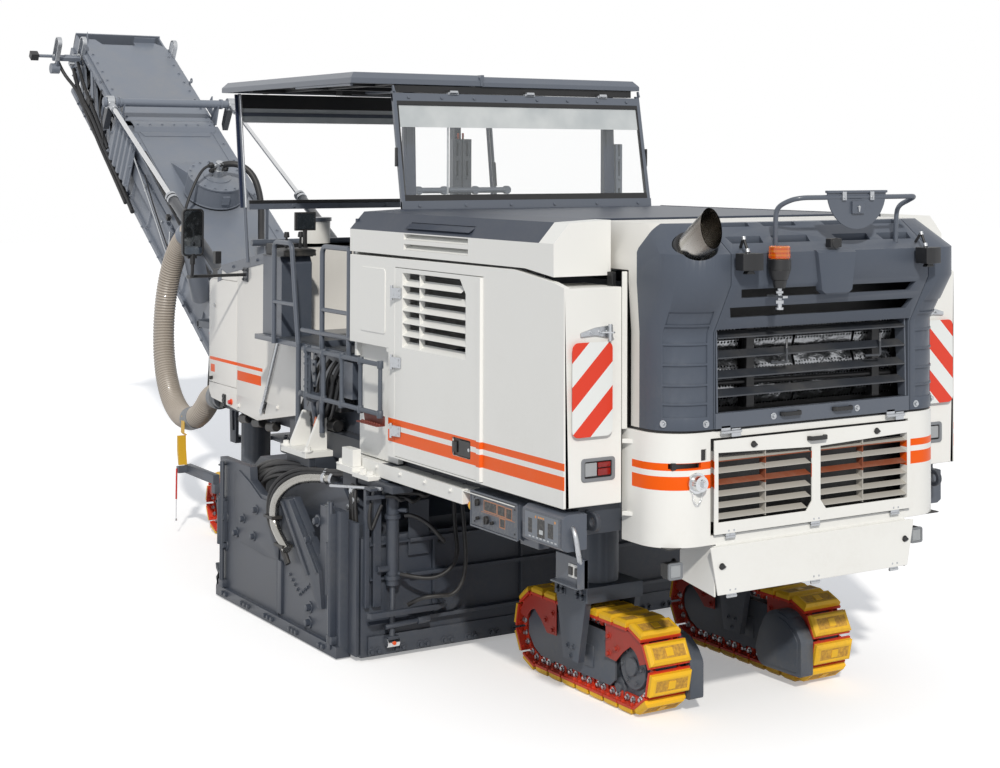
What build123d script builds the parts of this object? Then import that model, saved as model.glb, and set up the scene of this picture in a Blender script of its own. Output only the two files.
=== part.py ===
"""Cold planer on four steered tracks, with a folding operator canopy and a front discharge conveyor.

Millimetres. +X points forward to the conveyor, +Y to the driver's left, +Z up, and the tracks stand on
Z = 0. Stations along the machine are counted from X0, the back face of the two rear corner towers.
"""

import math
import os

from build123d import *

os.makedirs("parts", exist_ok=True)

# Driving dimensions
X0 = -6190  # back face of the corner towers
side_y = 1560  # outer face of the engine enclosure
wall = 40  # thickness of its walls
sill_z = 1430  # lower edge of the enclosure walls
belt_z = 2800  # joint between walls and shoulder
deck_z = 3110  # top of the engine deck
tower_y = 1156  # inner face of the corner towers
tower_x = 420  # length of the corner towers
tower_z = 2740  # top of the corner towers
enclosure_x = 2920  # front end of the enclosure
door_x = (970, 2200)  # engine doors, along the machine
door_z = (1445, 2730)  # engine doors, in height
door_gap = 6  # gap round each door
tail_x = -390  # back face of the lower rear shell
tail_y = 1120  # half width of the rear shell
tail_r = 250  # corner radius of the rear shell
tail_z = (1200, 1870)  # lower rear shell, in height
flap_y = 774  # half width of the louvred rear flap
leaf_off = 22  # from a flap's pin to its edge
flap_z = (1262, 1820)  # louvred rear flap, in height
apron_z = (890, 1190)  # bottom rear flap, in height
plate_t = 25  # thickness of the rear flaps
track_l = 1700  # length of one track over its pads
track_h = 580  # height of one track
pad_w = 310  # width of the pads
chain_w = 190  # width of the chain
chain_t = 75  # chain and pad together
rear_axle = (1020, 655)  # centre of the rear tracks
front_axle = (6500, 800)  # centre of the front tracks
column_r = 130  # inner tube of a lifting column
guide_r = 175  # outer tube of a lifting column
guide_z = (1250, 2150)  # outer tube, in height
running_gap = 0.4  # radial clearance of turning and sliding fits
beam_z = (1250, sill_z)  # chassis beams, in height
drum_x = 3720  # drum axis
drum_z = 560
drum_r = 430
cut_r = 508  # radius over the cutting tools
drum_y = (-1280, 880)  # ends of the drum
shaft_r = 90
housing_y = (-1380, 1600)  # outer faces of the drum housing
housing_top = 1140
side_plate_y = (1720, 1780)  # the floating side plate
side_plate_x = (2580, 4900)
guide_x = (2720, 4740)  # guide rods of the side plates, along the machine
guide_off = 30  # and out from the drum housing
guide_rod_r = 14
sleeve_z = (600, 800)
scraper_x = (2440, 2500)
floor_z = 2060  # operator platform
rail_y = 1500  # handrails beside the entrances
rail_r = 19
seat_gap = 0.3  # between a curved face and what it rests on
pin_r = 9  # hinge pins of the doors, flaps and hood
ear_half = 16  # half size of the ears round a hinge pin
hood_hinge = (450, 3030)  # front edge of the hood, (x, z)
hood_back = (-410, -583, -330)  # back faces of the hood: beside the grille, at its brow, at its top
hood_steps = (1885, 2450, 2745, 2925, 3095)  # heights where the hood's back changes slope
grille = (765, 1975, 2470)  # half width of the grille opening, and its heights
door_hinge = (2203, 1584)  # engine doors, (x, y)
flap_pin_x = -408  # pins of both rear flaps
ladder_pin = (3600, 1620, 1720)
ladder_pin_r = 22
ladder_tilt = 20  # lean of the ladders' pins, in degrees
platform_x = (2930, 4880)
front_y = 1200  # outer face of the front body
front_x = 6620  # its front end
upper_hinge = (flap_pin_x, flap_z[0] - leaf_off)  # pins of the louvred flap, (x, z)
lower_hinge = (flap_pin_x, apron_z[0])  # pins of the bottom flap
front_beam_x = 6700  # front end of the chassis beams
tunnel_y = 590  # half width of the passage for the loading belt
ledge = ((4880, 2745), (6330, 2525))  # sloping top edge of the front body
mirror_x = 5600
roof_x = (3170, 5750)
roof_y = (-1120, 1440)
roof_z = (4030, 4120)
visor_foot = (5480, 2600)  # raked front tubes of the canopy: lower ends, (x, z)
visor_lean = 0.15  # their lean forward
visor_y = (-1140, 1300)
visor_r = 15
posts = ((3320, 900), (3320, -900), (4230, 0))  # canopy posts: two at the back and one in the middle
canopy_drop = 850  # travel of the canopy
trough = ((4820, 420), (4960, 260), (7080, 1700), (6960, 1900))  # loading conveyor, seen from the side
slew_x = 7060  # vertical axis of the discharge conveyor
slew_z = (700, 760)  # fixed half of the slew bearing
luff_x = 7460  # cross axis of the discharge conveyor
luff_z = 1476
boom_angle = 31.0  # conveyor slope
boom_l = 6459  # conveyor, from the cross axis to its head
boom_half = 560  # half width of its cover
mast = (7480, 2300)  # pins of the luff cylinders on the slew frame
cross_tube = (4385, 430)  # tube over the cover: along the boom, above it
cheek_y = (620, 650)  # cheeks of the slew frame
cylinder_y = 705  # luff cylinders, off the centre plane


def block(x, y, z, mode=Mode.ADD):
    """A box between three (low, high) pairs, with x counted from X0."""
    with Locations((X0 + (x[0] + x[1]) / 2, (y[0] + y[1]) / 2, (z[0] + z[1]) / 2)):
        Box(x[1] - x[0], y[1] - y[0], z[1] - z[0], mode=mode)


def both_sides(x, y, z, mode=Mode.ADD):
    """The same box on the left and, mirrored, on the right."""
    block(x, y, z, mode)
    block(x, (-y[1], -y[0]), z, mode)


def side_slab(points, y, mode=Mode.ADD):
    """A plate whose outline is seen from the side, points (x, z), between two y values."""
    with BuildSketch(Plane.XZ.offset(-y[1])) as outline:
        with BuildLine():
            Polyline(*[(X0 + px, pz) for px, pz in points], close=True)
        make_face()
    extrude(outline.sketch, amount=y[1] - y[0], mode=mode)


def rear_slab(points, x, mode=Mode.ADD):
    """A bar whose outline is seen from the back, points (y, z), between two x values."""
    with BuildSketch(Plane.YZ.offset(X0 + x[0])) as outline:
        with BuildLine():
            Polyline(*points, close=True)
        make_face()
    extrude(outline.sketch, amount=x[1] - x[0], mode=mode)


def rod(a, b, r, mode=Mode.ADD):
    """A round bar between two points, with x counted from X0."""
    start = Vector(X0 + a[0], a[1], a[2])
    end = Vector(X0 + b[0], b[1], b[2])
    with BuildSketch(Plane(origin=start, z_dir=end - start)) as section:
        Circle(r)
    extrude(section.sketch, amount=(end - start).length, mode=mode)


def rounded_slab(x, half_y, r, z, mode=Mode.ADD):
    """A plan outline with rounded corners, between two heights."""
    with BuildSketch(Plane.XY.offset(z[0])) as outline:
        with Locations((X0 + (x[0] + x[1]) / 2, 0)):
            RectangleRounded(x[1] - x[0], 2 * half_y, r)
    extrude(outline.sketch, amount=z[1] - z[0], mode=mode)


def bent_tube(points, bend, r):
    """A round tube along straight runs joined by arcs, with x counted from X0."""
    with BuildLine() as path:
        FilletPolyline(*[(X0 + px, py, pz) for px, py, pz in points], radius=bend)
    with BuildSketch(Plane(origin=path.line @ 0, z_dir=path.line % 0)) as section:
        Circle(r)
    sweep(section.sketch, path=path.line)


def ears_on_y(pin, places, x, z):
    """Two ears about each place along a hinge that runs across the machine, bored for its pin."""
    for place in places:
        for low, high in ((place - 45, place - 29), (place + 29, place + 45)):
            block(x, (low, high), z)
    rod((pin[0], -1200, pin[1]), (pin[0], 1200, pin[1]), pin_r + running_gap, Mode.SUBTRACT)


def pins_on_y(pin, places, x, z):
    """The tab of a moving leaf between two ears, with its pin."""
    for place in places:
        block(x, (place - 25, place + 25), z)
        rod((pin[0], place - 45, pin[1]), (pin[0], place + 45, pin[1]), pin_r)


def on_ladder_pin(side, distance):
    """A point on the leaning pin of a ladder, measured outwards from its rails."""
    lean = math.radians(ladder_tilt)
    x, y, z = ladder_pin
    return (x, side * (y + distance * math.cos(lean)), z + distance * math.sin(lean))


def trough_bottom(x):
    """Height of the loading conveyor's underside at a station."""
    (x0, z0), (x1, z1) = trough[1:3]
    return z0 + (z1 - z0) * (x - x0) / (x1 - x0)


# Chassis: side beams, cross members, the four column guides and the bracket of the slew bearing
with BuildPart() as chassis:
    both_sides((60, 4300), (1300, 1420), beam_z)
    both_sides((4150, front_beam_x), (985, 1105), beam_z)
    for cross in ((60, 200), (2300, 2450), (4150, 4300)):
        block(cross, (-1420, 1420), beam_z)
    block((2300, 2450), (1420, 1540), (beam_z[0], 1355))
    block((front_beam_x - 120, front_beam_x), (-565, 565), (1180, 1320))
    for (cx, cy), outer in ((rear_axle, 1300), (front_axle, 985)):
        both_sides((cx - 200, cx + 200), (cy - 240, outer), beam_z)
        for side in (1, -1):
            rod((cx, side * cy, guide_z[0]), (cx, side * cy, guide_z[1]), guide_r)
            rod((cx, side * cy, 0), (cx, side * cy, 3000), column_r + running_gap, Mode.SUBTRACT)
    side_slab(
        (
            (front_beam_x - 120, 1300),
            (front_beam_x - 40, 1300),
            (front_beam_x - 40, trough_bottom(front_beam_x - 40) - seat_gap),
            (front_beam_x - 120, trough_bottom(front_beam_x - 120) - seat_gap),
        ),
        (-250, 250),
    )
    block((2700, 2960), (1300, side_y), (housing_top, beam_z[0]))
    block((3500, 3960), (1300, side_y), (housing_top, beam_z[0]))
    for x in (2700, 3660):
        block((x, x + 260), (-1380, -1300), (housing_top, beam_z[0]))
with BuildPart() as slew_bracket:
    block((front_beam_x - 120, front_beam_x + 30), (-250, 250), (slew_z[0], 1180))
    block((front_beam_x - 120, slew_x), (-250, 250), slew_z)
    rod((slew_x, 0, slew_z[0]), (slew_x, 0, slew_z[1]), 300)
frame_and_bracket = Compound(children=[chassis.part, slew_bracket.part], label="chassis")
export_step(frame_and_bracket, "parts/chassis.step")

# Lashing eyes on the rear ends of the side beams
eye = (-20, 1360, 1340)
eye_r = 28
with BuildPart() as lashing_eyes:
    for side in (1, -1):
        cheek = sorted((side * (eye[1] - 15), side * (eye[1] + 15)))
        block((eye[0], 60), cheek, (eye[2] - 55, eye[2] + 55))
        rod((eye[0], cheek[0], eye[2]), (eye[0], cheek[1], eye[2]), 55)
        rod((eye[0], cheek[0] - 5, eye[2]), (eye[0], cheek[1] + 5, eye[2]), eye_r, Mode.SUBTRACT)
lashing_eyes.part.label = "lashing_eyes"
export_step(lashing_eyes.part, "parts/lashing_eyes.step")

# Places of the hinges along their lines
flap_hinges = (-600, 0, 600)
lower_hinges = (-500, 0, 500)
hood_hinges = (-700, 700)
door_hinges = (1620, 2087, 2560)

# Engine enclosure: side walls with door openings, corner towers, shoulders, deck and lower rear shell
with BuildPart() as body_shell:
    both_sides((0, tower_x), (tower_y, side_y), (sill_z, tower_z))
    both_sides((wall, tower_x), (tower_y + wall, side_y - wall), (sill_z, tower_z - wall), Mode.SUBTRACT)
    both_sides((tower_x, enclosure_x), (side_y - wall, side_y), (sill_z, belt_z))
    both_sides(
        (door_x[0] - door_gap, door_x[1] + door_gap),
        (side_y - wall, side_y),
        (door_z[0] - door_gap, door_z[1] + door_gap),
        Mode.SUBTRACT,
    )
    both_sides((2300, enclosure_x), (side_y - 80, side_y), (sill_z, 2170), Mode.SUBTRACT)
    both_sides((2300, enclosure_x), (side_y - 120, side_y - 80), (1360, 2170))
    block((enclosure_x - wall, enclosure_x), (-side_y + wall, side_y - wall), (sill_z, deck_z - 40))
    for side in (1, -1):
        rear_slab(
            (
                (side * tower_y, belt_z),
                (side * side_y, belt_z),
                (side * side_y, 2975),
                (side * 1450, 3090),
                (side * tower_y, deck_z),
            ),
            (120, enclosure_x),
        )
    block((500, enclosure_x), (-tower_y, tower_y), (deck_z - 40, deck_z))
    both_sides((120, tower_x), (tower_y, tower_y + wall), (tower_z, belt_z))
    rounded_slab((tail_x, 800), tail_y, tail_r, tail_z)
    rounded_slab((tail_x + 30, 770), tail_y - 30, tail_r - 30, tail_z, Mode.SUBTRACT)
    block((50, 900), (-tail_y, tail_y), tail_z, Mode.SUBTRACT)
    block(
        (tail_x - 10, tail_x + 40),
        (-flap_y - 10, flap_y + 10),
        (flap_z[0] - 10, flap_z[1] + 10),
        Mode.SUBTRACT,
    )
    both_sides((0, 50), (tail_y - 30, tower_y), (sill_z, tail_z[1]))
    block((tail_x, tail_x + 30), (-flap_y, flap_y), (apron_z[0], tail_z[0]))
    both_sides((tail_x, 0), (flap_y - 30, flap_y), (apron_z[0], tail_z[0]))
    block((tail_x - 10, tail_x + 40), (-620, 620), (apron_z[0] + 60, apron_z[1] - 60), Mode.SUBTRACT)
    for pin, places in ((upper_hinge, flap_hinges), (lower_hinge, lower_hinges)):
        ears_on_y(pin, places, (pin[0] - ear_half, tail_x), (pin[1] - 12, pin[1] + 12))
    for place in hood_hinges:
        block((495, 520), (place - 45, place + 45), (hood_hinge[1] - ear_half, deck_z - 40))
    ear_z = (hood_hinge[1] - ear_half, hood_hinge[1] + ear_half)
    ears_on_y(hood_hinge, hood_hinges, (hood_hinge[0] - ear_half, 520), ear_z)
    for side in (1, -1):
        for z in door_hinges:
            for low in (z - 45, z + 29):
                ear_y = sorted((side * (door_hinge[1] - ear_half), side * (door_hinge[1] + ear_half)))
                block((door_hinge[0] - ear_half, door_hinge[0] + 70), ear_y, (low, low + 16))
                foot_y = sorted((side * side_y, side * door_hinge[1]))
                block((door_hinge[0] + 6, door_hinge[0] + 70), foot_y, (low, low + 16))
            rod(
                (door_hinge[0], side * door_hinge[1], z - 50),
                (door_hinge[0], side * door_hinge[1], z + 50),
                pin_r + running_gap,
                Mode.SUBTRACT,
            )
body_shell.part.label = "body_shell"
export_step(body_shell.part, "parts/body_shell.step")

# Engine, as one block at its real place, and the cooler behind the grille
with BuildPart() as radiator:
    block((60, 260), (-1050, 1050), (sill_z, 2660))
radiator.part.label = "radiator"
export_step(radiator.part, "parts/radiator.step")
with BuildPart() as engine:
    block((700, 2250), (-330, 330), (sill_z + 30, 2650))
    block((1300, 2250), (-1300, 1300), (beam_z[1], sill_z + 30))
engine.part.label = "engine"
export_step(engine.part, "parts/engine.step")

# Rear hood: a shell open below and in front, hinged at its front top edge
hood_plans = (
    (hood_steps[0], hood_back[0], 1100),
    (hood_steps[1], hood_back[0], 1100),
    (hood_steps[2], hood_back[1], tail_y),
    (hood_steps[3], hood_back[1], tail_y),
    (hood_steps[4], hood_back[2], 1040),
)


def hood_block(inset, mode=Mode.ADD):
    """The hood's solid, each plan outline drawn in by an inset."""
    for below, above in zip(hood_plans, hood_plans[1:]):
        with BuildSketch(Plane.XY.offset(below[0])) as lower:
            with Locations((X0 + (below[1] + 800) / 2, 0)):
                RectangleRounded(800 - below[1] - 2 * inset, 2 * (below[2] - inset), tail_r - inset)
        with BuildSketch(Plane.XY.offset(above[0] - (inset if above is hood_plans[-1] else 0))) as upper:
            with Locations((X0 + (above[1] + 800) / 2, 0)):
                RectangleRounded(800 - above[1] - 2 * inset, 2 * (above[2] - inset), tail_r - inset)
        loft([lower.sketch, upper.sketch], ruled=True, mode=mode)


def hood_slope_x(z):
    """Station of the slope under the hood's brow at a height."""
    share = (z - hood_steps[1]) / (hood_steps[2] - hood_steps[1])
    return hood_back[0] + share * (hood_back[1] - hood_back[0])


with BuildPart() as engine_hood:
    hood_block(0)
    hood_block(wall, Mode.SUBTRACT)
    block((430, 900), (-1300, 1300), (1800, 3200), Mode.SUBTRACT)
    block((-20, 900), (-1300, 1300), (1800, 2815), Mode.SUBTRACT)
    block((-700, -250), (-grille[0], grille[0]), (grille[1], grille[2]), Mode.SUBTRACT)
    rod((-360, 950, 2900), (-700, 950, 3132.4), 100 + running_gap, Mode.SUBTRACT)
    pins_on_y(hood_hinge, hood_hinges, (415, hood_hinge[0] + 12), (hood_hinge[1] - 12, 3058))
engine_hood.part.label = "engine_hood"
export_step(engine_hood.part, "parts/engine_hood.step")

# Grille blades across the opening of the hood
with BuildPart() as hood_grille:
    for i in range(4):
        z = grille[1] + 95 + 112 * i
        side_slab(((-405, z), (-395, z), (-335, z + 30), (-345, z + 30)), (-grille[0], grille[0]))
    both_sides((-400, -350), (grille[0] - 15, grille[0]), (grille[1], grille[2]))
hood_grille.part.label = "hood_grille"
export_step(hood_grille.part, "parts/hood_grille.step")

# Exhaust outlet, rail, half-round shield, beacon and rear lamps on the hood
rail_x = -520
rail_foot_z = hood_steps[3] + (rail_x + 17 - hood_back[1]) * 170 / 253 + seat_gap
with BuildPart() as hood_fittings:
    rod((-360, 950, 2900), (-640, 950, 3091.4), 100)
    rod((-380, 950, 2913.7), (-670, 950, 3111.9), 88, Mode.SUBTRACT)
    bent_tube(
        (
            (rail_x, 400, rail_foot_z),
            (rail_x, 400, 3160),
            (rail_x - 130, 310, 3250),
            (rail_x - 130, -600, 3250),
            (rail_x, -560, 3160),
            (rail_x, -560, rail_foot_z),
        ),
        30,
        17,
    )
    with BuildSketch(Plane.YZ.offset(X0 + rail_x - 136)) as shield:
        with Locations((-120, 3290)):
            Circle(235)
            with Locations((0, 240)):
                Rectangle(600, 480, mode=Mode.SUBTRACT)
    extrude(shield.sketch, amount=12)
    side_slab(
        (
            (-730, 2660),
            (-730, 2680),
            (hood_slope_x(2680) - seat_gap, 2680),
            (hood_slope_x(2660) - seat_gap, 2660),
        ),
        (440, 520),
    )
    rod((-660, 480, 2680), (-660, 480, 2975), 70)
    both_sides((-730, hood_back[1] - seat_gap), (630, 780), (2830, 2935))
hood_fittings.part.label = "hood_fittings"
export_step(hood_fittings.part, "parts/hood_fittings.step")

# Engine doors, six air slots each
for name, side in (("left_engine_door", 1), ("right_engine_door", -1)):
    with BuildPart() as door:
        face_y = sorted((side * (side_y - wall + 4), side * side_y))
        block(door_x, face_y, door_z)
        for i in range(6):
            z = 2185 + 85 * i
            block((1160, 2070), sorted((side * (side_y - wall), side * (side_y + 5))), (z, z + 48), Mode.SUBTRACT)
        for z in door_hinges:
            pin_at = (door_hinge[0], side * door_hinge[1])
            block((2130, door_hinge[0]), sorted((side * side_y, side * (door_hinge[1] + 10))), (z - 25, z + 25))
            rod((*pin_at, z - 45), (*pin_at, z + 45), pin_r)
    door.part.label = name
    export_step(door.part, f"parts/{name}.step")

# Rear flaps: the louvred one and the bottom one both drop open about their lower edges
with BuildPart() as louvred_flap:
    block((tail_x - plate_t - 5, tail_x - 5), (-flap_y, flap_y), flap_z)
    for i in range(6):
        z = flap_z[0] + 55 + 78 * i
        both_sides((tail_x - plate_t - 15, tail_x), (40, flap_y - 60), (z, z + 50), Mode.SUBTRACT)
    pins_on_y(upper_hinge, flap_hinges, (tail_x - plate_t - 5, tail_x - 5), (upper_hinge[1] - 10, flap_z[0]))
louvred_flap.part.label = "louvred_flap"
export_step(louvred_flap.part, "parts/louvred_flap.step")

leaf_z = (lower_hinge[1] + leaf_off, apron_z[1])
with BuildPart() as bottom_flap:
    rear_slab(
        ((-flap_y, leaf_z[1]), (-flap_y + 40, leaf_z[0]), (flap_y - 40, leaf_z[0]), (flap_y, leaf_z[1])),
        (tail_x - plate_t - 5, tail_x - 5),
    )
    pins_on_y(lower_hinge, lower_hinges, (tail_x - plate_t - 5, tail_x - 5), (lower_hinge[1] - 10, leaf_z[0]))
bottom_flap.part.label = "bottom_flap"
export_step(bottom_flap.part, "parts/bottom_flap.step")

# Drum housing: a hood over the drum, open below, with the drive casing on its left
hood_outline = ((2660, 300), (2660, 900), (2950, housing_top), (4450, housing_top), (4800, 900), (4800, 300))
inner_outline = ((2690, 200), (2690, 888), (2962, 1110), (4438, 1110), (4770, 888), (4770, 200))
with BuildPart() as drum_housing:
    side_slab(hood_outline, housing_y)
    side_slab(inner_outline, (housing_y[0] + 40, drum_y[1] + 60), Mode.SUBTRACT)
    rod((drum_x, housing_y[0] - 10, drum_z), (drum_x, drum_y[1] + 400, drum_z), shaft_r + running_gap, Mode.SUBTRACT)
    block((4700, 4900), (-500, 500), (250, 820), Mode.SUBTRACT)
    for x in guide_x:
        for face, out in ((housing_y[1], 1), (housing_y[0], -1)):
            y = face + out * guide_off
            block((x - 24, x + 24), sorted((face, y)), sleeve_z)
            rod((x, y, sleeve_z[0]), (x, y, sleeve_z[1]), 24)
            rod((x, y, sleeve_z[0] - 5), (x, y, sleeve_z[1] + 5), guide_rod_r + running_gap, Mode.SUBTRACT)
drum_housing.part.label = "drum_housing"
export_step(drum_housing.part, "parts/drum_housing.step")

# Drum with its tools in two helices that meet in the middle
with BuildPart() as milling_drum:
    rod((drum_x, drum_y[0], drum_z), (drum_x, drum_y[1], drum_z), drum_r)
    rod((drum_x, housing_y[0] + 5, drum_z), (drum_x, drum_y[1] + 380, drum_z), shaft_r)
    tool_count = 72
    span = drum_y[1] - drum_y[0] - 60
    spots = []
    for i in range(tool_count):
        y = drum_y[0] + 30 + span * i / (tool_count - 1)
        turn = 50 * abs(i - tool_count / 2)
        spots.append(
            Location((X0 + drum_x, y, drum_z)) * Location((0, 0, 0), (0, turn, 0)) * Location((0, 0, drum_r + 30))
        )
    with Locations(*spots):
        Box(60, 30, 2 * (cut_r - drum_r - 30) - 6)
milling_drum.part.label = "milling_drum"
export_step(milling_drum.part, "parts/milling_drum.step")

# Floating side plates with their skids and guide rods
for name, side in (("left_side_plate", 1), ("right_side_plate", -1)):
    inner = side_plate_y[0] if side > 0 else -housing_y[0] + 60
    plate_y = sorted((side * inner, side * (inner + 60)))
    skid_y = sorted((side * (inner - 20), side * (inner + 90)))
    with BuildPart() as side_plate:
        side_slab(
            (
                (side_plate_x[0], 20),
                (side_plate_x[0], 1020),
                (3460, 1020),
                (3560, 1100),
                (side_plate_x[1] - 60, 1100),
                (side_plate_x[1] - 60, 200),
                (side_plate_x[1] + 20, 130),
                (side_plate_x[1] - 40, 20),
            ),
            plate_y,
        )
        block((side_plate_x[0], side_plate_x[1] - 60), skid_y, (12, 90))
        guide_y = housing_y[1] + guide_off if side > 0 else housing_y[0] - guide_off
        for x in guide_x:
            for z in (200, 880):
                block((x - 20, x + 20), sorted((guide_y - side * 14, side * inner)), (z, z + 50))
            rod((x, guide_y, 200), (x, guide_y, 930), guide_rod_r)
        for x in (2680, 4720):
            block((x - 45, x + 45), sorted((side * inner, side * (inner + 100))), (95, 150))
            rod((x, side * (inner + 90), 150), (x, side * (inner + 90), 1080), 18)
    side_plate.part.label = name
    export_step(side_plate.part, f"parts/{name}.step")

# Scraper behind the drum, with ribs and the lugs of its two cylinders
with BuildPart() as scraper_blade:
    block(scraper_x, (-1360, 1690), (30, 850))
    for z in (250, 560, 800):
        block((scraper_x[0] - 60, scraper_x[0]), (-1150, 1340), (z, z + 25))
    for y in (1480, -1240):
        block((scraper_x[0] - 85, scraper_x[0]), (y - 40, y + 40), (110, 170))
        rod((scraper_x[0] - 60, y, 170), (scraper_x[0] - 60, y, 700), 20)
scraper_blade.part.label = "scraper_blade"
export_step(scraper_blade.part, "parts/scraper_blade.step")

# Cylinders of the scraper, hung from the cross member above it
with BuildPart() as lift_cylinders:
    for y in (1480, -1240):
        rod((scraper_x[0] - 60, y, 520), (scraper_x[0] - 60, y, beam_z[0]), 45)
        rod((scraper_x[0] - 60, y, 400), (scraper_x[0] - 60, y, 1080), 20 + running_gap, Mode.SUBTRACT)
lift_cylinders.part.label = "lift_cylinders"
export_step(lift_cylinders.part, "parts/lift_cylinders.step")

# Lifting columns with their forks, track frames and tracks
half_l = track_l / 2
end_r = track_h / 2
inner_r = end_r - chain_t
end_x = half_l - end_r
fork_y = pad_w / 2 + 15
axle_z = end_r
pad_pitch = 140
for place, (cx, cy), heading in (
    ("front_left", front_axle, 1),
    ("front_right", (front_axle[0], -front_axle[1]), 1),
    ("rear_left", rear_axle, -1),
    ("rear_right", (rear_axle[0], -rear_axle[1]), -1),
):
    inward = -1 if cy > 0 else 1
    with BuildPart() as leg:
        rod((cx, cy, 700), (cx, cy, guide_z[1] - 150), column_r)
        block((cx - 200, cx + 200), (cy - fork_y - 45, cy + fork_y + 45), (track_h + 40, 720))
        for side in (-1, 1):
            cheek = sorted((cy + side * fork_y, cy + side * (fork_y + 45)))
            side_slab(
                ((cx - 200, 720), (cx - 90, 220), (cx + 90, 220), (cx + 200, 720)),
                cheek,
            )
        rod((cx, cy - fork_y, axle_z), (cx, cy + fork_y, axle_z), 55)
    leg.part.label = f"{place}_leg"

    with BuildPart() as track_frame:
        block((cx - end_x, cx + end_x), (cy - 80, cy + 80), (150, 430))
        rod((cx, cy - 100, axle_z), (cx, cy + 100, axle_z), 110)
        for x in (-end_x, end_x):
            rod((cx + x, cy - 80, axle_z), (cx + x, cy + 80, axle_z), inner_r - 0.3)
        for i in range(5):
            x = cx - 400 + 200 * i
            rod((x, cy - 85, chain_t + 60.3), (x, cy + 85, chain_t + 60.3), 60)
        drive = cx + heading * end_x
        rod((drive, cy + inward * 80, axle_z), (drive, cy + inward * 250, axle_z), inner_r - 20)
        rod((cx, cy - 200, axle_z), (cx, cy + 260, axle_z), 55 + running_gap, Mode.SUBTRACT)
    leg_parts = [leg.part, track_frame.part]
    if place == "front_left":
        with BuildPart() as hose_arm:
            block((cx + 40, cx + 120), (cy + fork_y + 45, 1170), (480, 560))
            block((cx + 80, cx + 800), (1110, 1170), (560, 640))
            block((cx + 740, cx + 800), (1170, 1250), (570, 630))
        leg_parts.append(hose_arm.part)
    column_and_frame = Compound(children=leg_parts, label=f"{place}_leg")
    export_step(column_and_frame, f"parts/{place}_leg.step")

    with BuildPart() as track:
        with BuildSketch(Plane.XZ.offset(-(cy + chain_w / 2))) as loop:
            with Locations((X0 + cx, axle_z)):
                SlotCenterToCenter(2 * end_x, 2 * (end_r - 30))
                SlotCenterToCenter(2 * end_x, 2 * inner_r, mode=Mode.SUBTRACT)
        extrude(loop.sketch, amount=chain_w)
        with BuildSketch(Plane.XZ.offset(-(cy + pad_w / 2))) as pads:
            with Locations((X0 + cx, axle_z)):
                SlotCenterToCenter(2 * end_x, track_h)
                SlotCenterToCenter(2 * end_x, 2 * (end_r - 45), mode=Mode.SUBTRACT)
            straight = 2 * end_x
            for i in range(9):
                x = X0 + cx - end_x + straight * i / 8
                for z in (0, track_h):
                    with Locations((x, z)):
                        Rectangle(12, 100, mode=Mode.SUBTRACT)
            for end in (-1, 1):
                for k in range(1, 6):
                    angle = 90 - 180 * k / 6
                    with Locations(
                        Location(
                            (
                                X0 + cx + end * (end_x + end_r * math.cos(math.radians(angle))),
                                axle_z + end_r * math.sin(math.radians(angle)),
                            ),
                            end * angle,
                        )
                    ):
                        Rectangle(100, 12, mode=Mode.SUBTRACT)
        extrude(pads.sketch, amount=pad_w)
    track.part.label = f"{place}_track"
    export_step(track.part, f"parts/{place}_track.step")

# Operator platform: floor, under-box and the sleeves of the rear canopy posts
platform_y = rail_y - rail_r - seat_gap
sleeve = 12  # wall of the sleeves
post_size = (90, 60)
with BuildPart() as operator_platform:
    block(platform_x, (-platform_y, platform_y), (floor_z - 40, floor_z))
    block((platform_x[0], 4140), (-1300, 1300), (sill_z, floor_z - 40))
    block((platform_x[0] + 30, 4110), (-1270, 1270), (sill_z, floor_z - 70), Mode.SUBTRACT)
    for x, y in posts:
        half = (post_size[0] / 2 + sleeve, post_size[1] / 2 + sleeve)
        block((x - half[0], x + half[0]), (y - half[1], y + half[1]), (sill_z, 3050))
        hole = (post_size[0] / 2 + running_gap, post_size[1] / 2 + running_gap)
        block((x - hole[0], x + hole[0]), (y - hole[1], y + hole[1]), (sill_z - 10, 3060), Mode.SUBTRACT)
    for side in (1, -1):
        rod(on_ladder_pin(side, -105), on_ladder_pin(side, -35), 40)
        block((3570, 3630), sorted((side * 1300, side * 1540)), (1660, 1720))
        rod(on_ladder_pin(side, -140), on_ladder_pin(side, -10), ladder_pin_r + running_gap, Mode.SUBTRACT)
operator_platform.part.label = "operator_platform"
export_step(operator_platform.part, "parts/operator_platform.step")

# Handrails at both entrances
with BuildPart() as handrails:
    for side in (1, -1):
        y = side * rail_y
        bent_tube(((3060, y, 2820), (3530, y, 2820), (3530, y, floor_z - 40)), 60, rail_r)
        rod((3060, y, 2350), (3530, y, 2350), 16)
        rod((3060, y, 2830), (3060, y, floor_z - 40), rail_r)
        bent_tube(
            ((3960, y, floor_z - 40), (4100, y, 2820), (4440, y, 2820), (4440, y, floor_z - 40)), 60, rail_r
        )
        rod((4010, y, 2350), (4440, y, 2350), 16)
handrails.part.label = "handrails"
export_step(handrails.part, "parts/handrails.step")

# Operator stations: a dash across the front, two side consoles and two seats
with BuildPart() as operator_stations:
    side_slab(((4600, floor_z), (4600, 2700), (4700, 2840), (4860, 2840), (4860, floor_z)), (-620, 620))
    both_sides((4480, 4860), (1160, 1420), (floor_z, 2700))
    both_sides((4420, 4870), (1140, 1430), (2700, 2760))
    both_sides((3480, 3900), (620, 1060), (2480, 2580))
    both_sides((3420, 3480), (620, 1060), (2480, 2980))
    both_sides((3620, 3740), (780, 900), (floor_z, 2480))
operator_stations.part.label = "operator_stations"
export_step(operator_stations.part, "parts/operator_stations.step")


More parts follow.
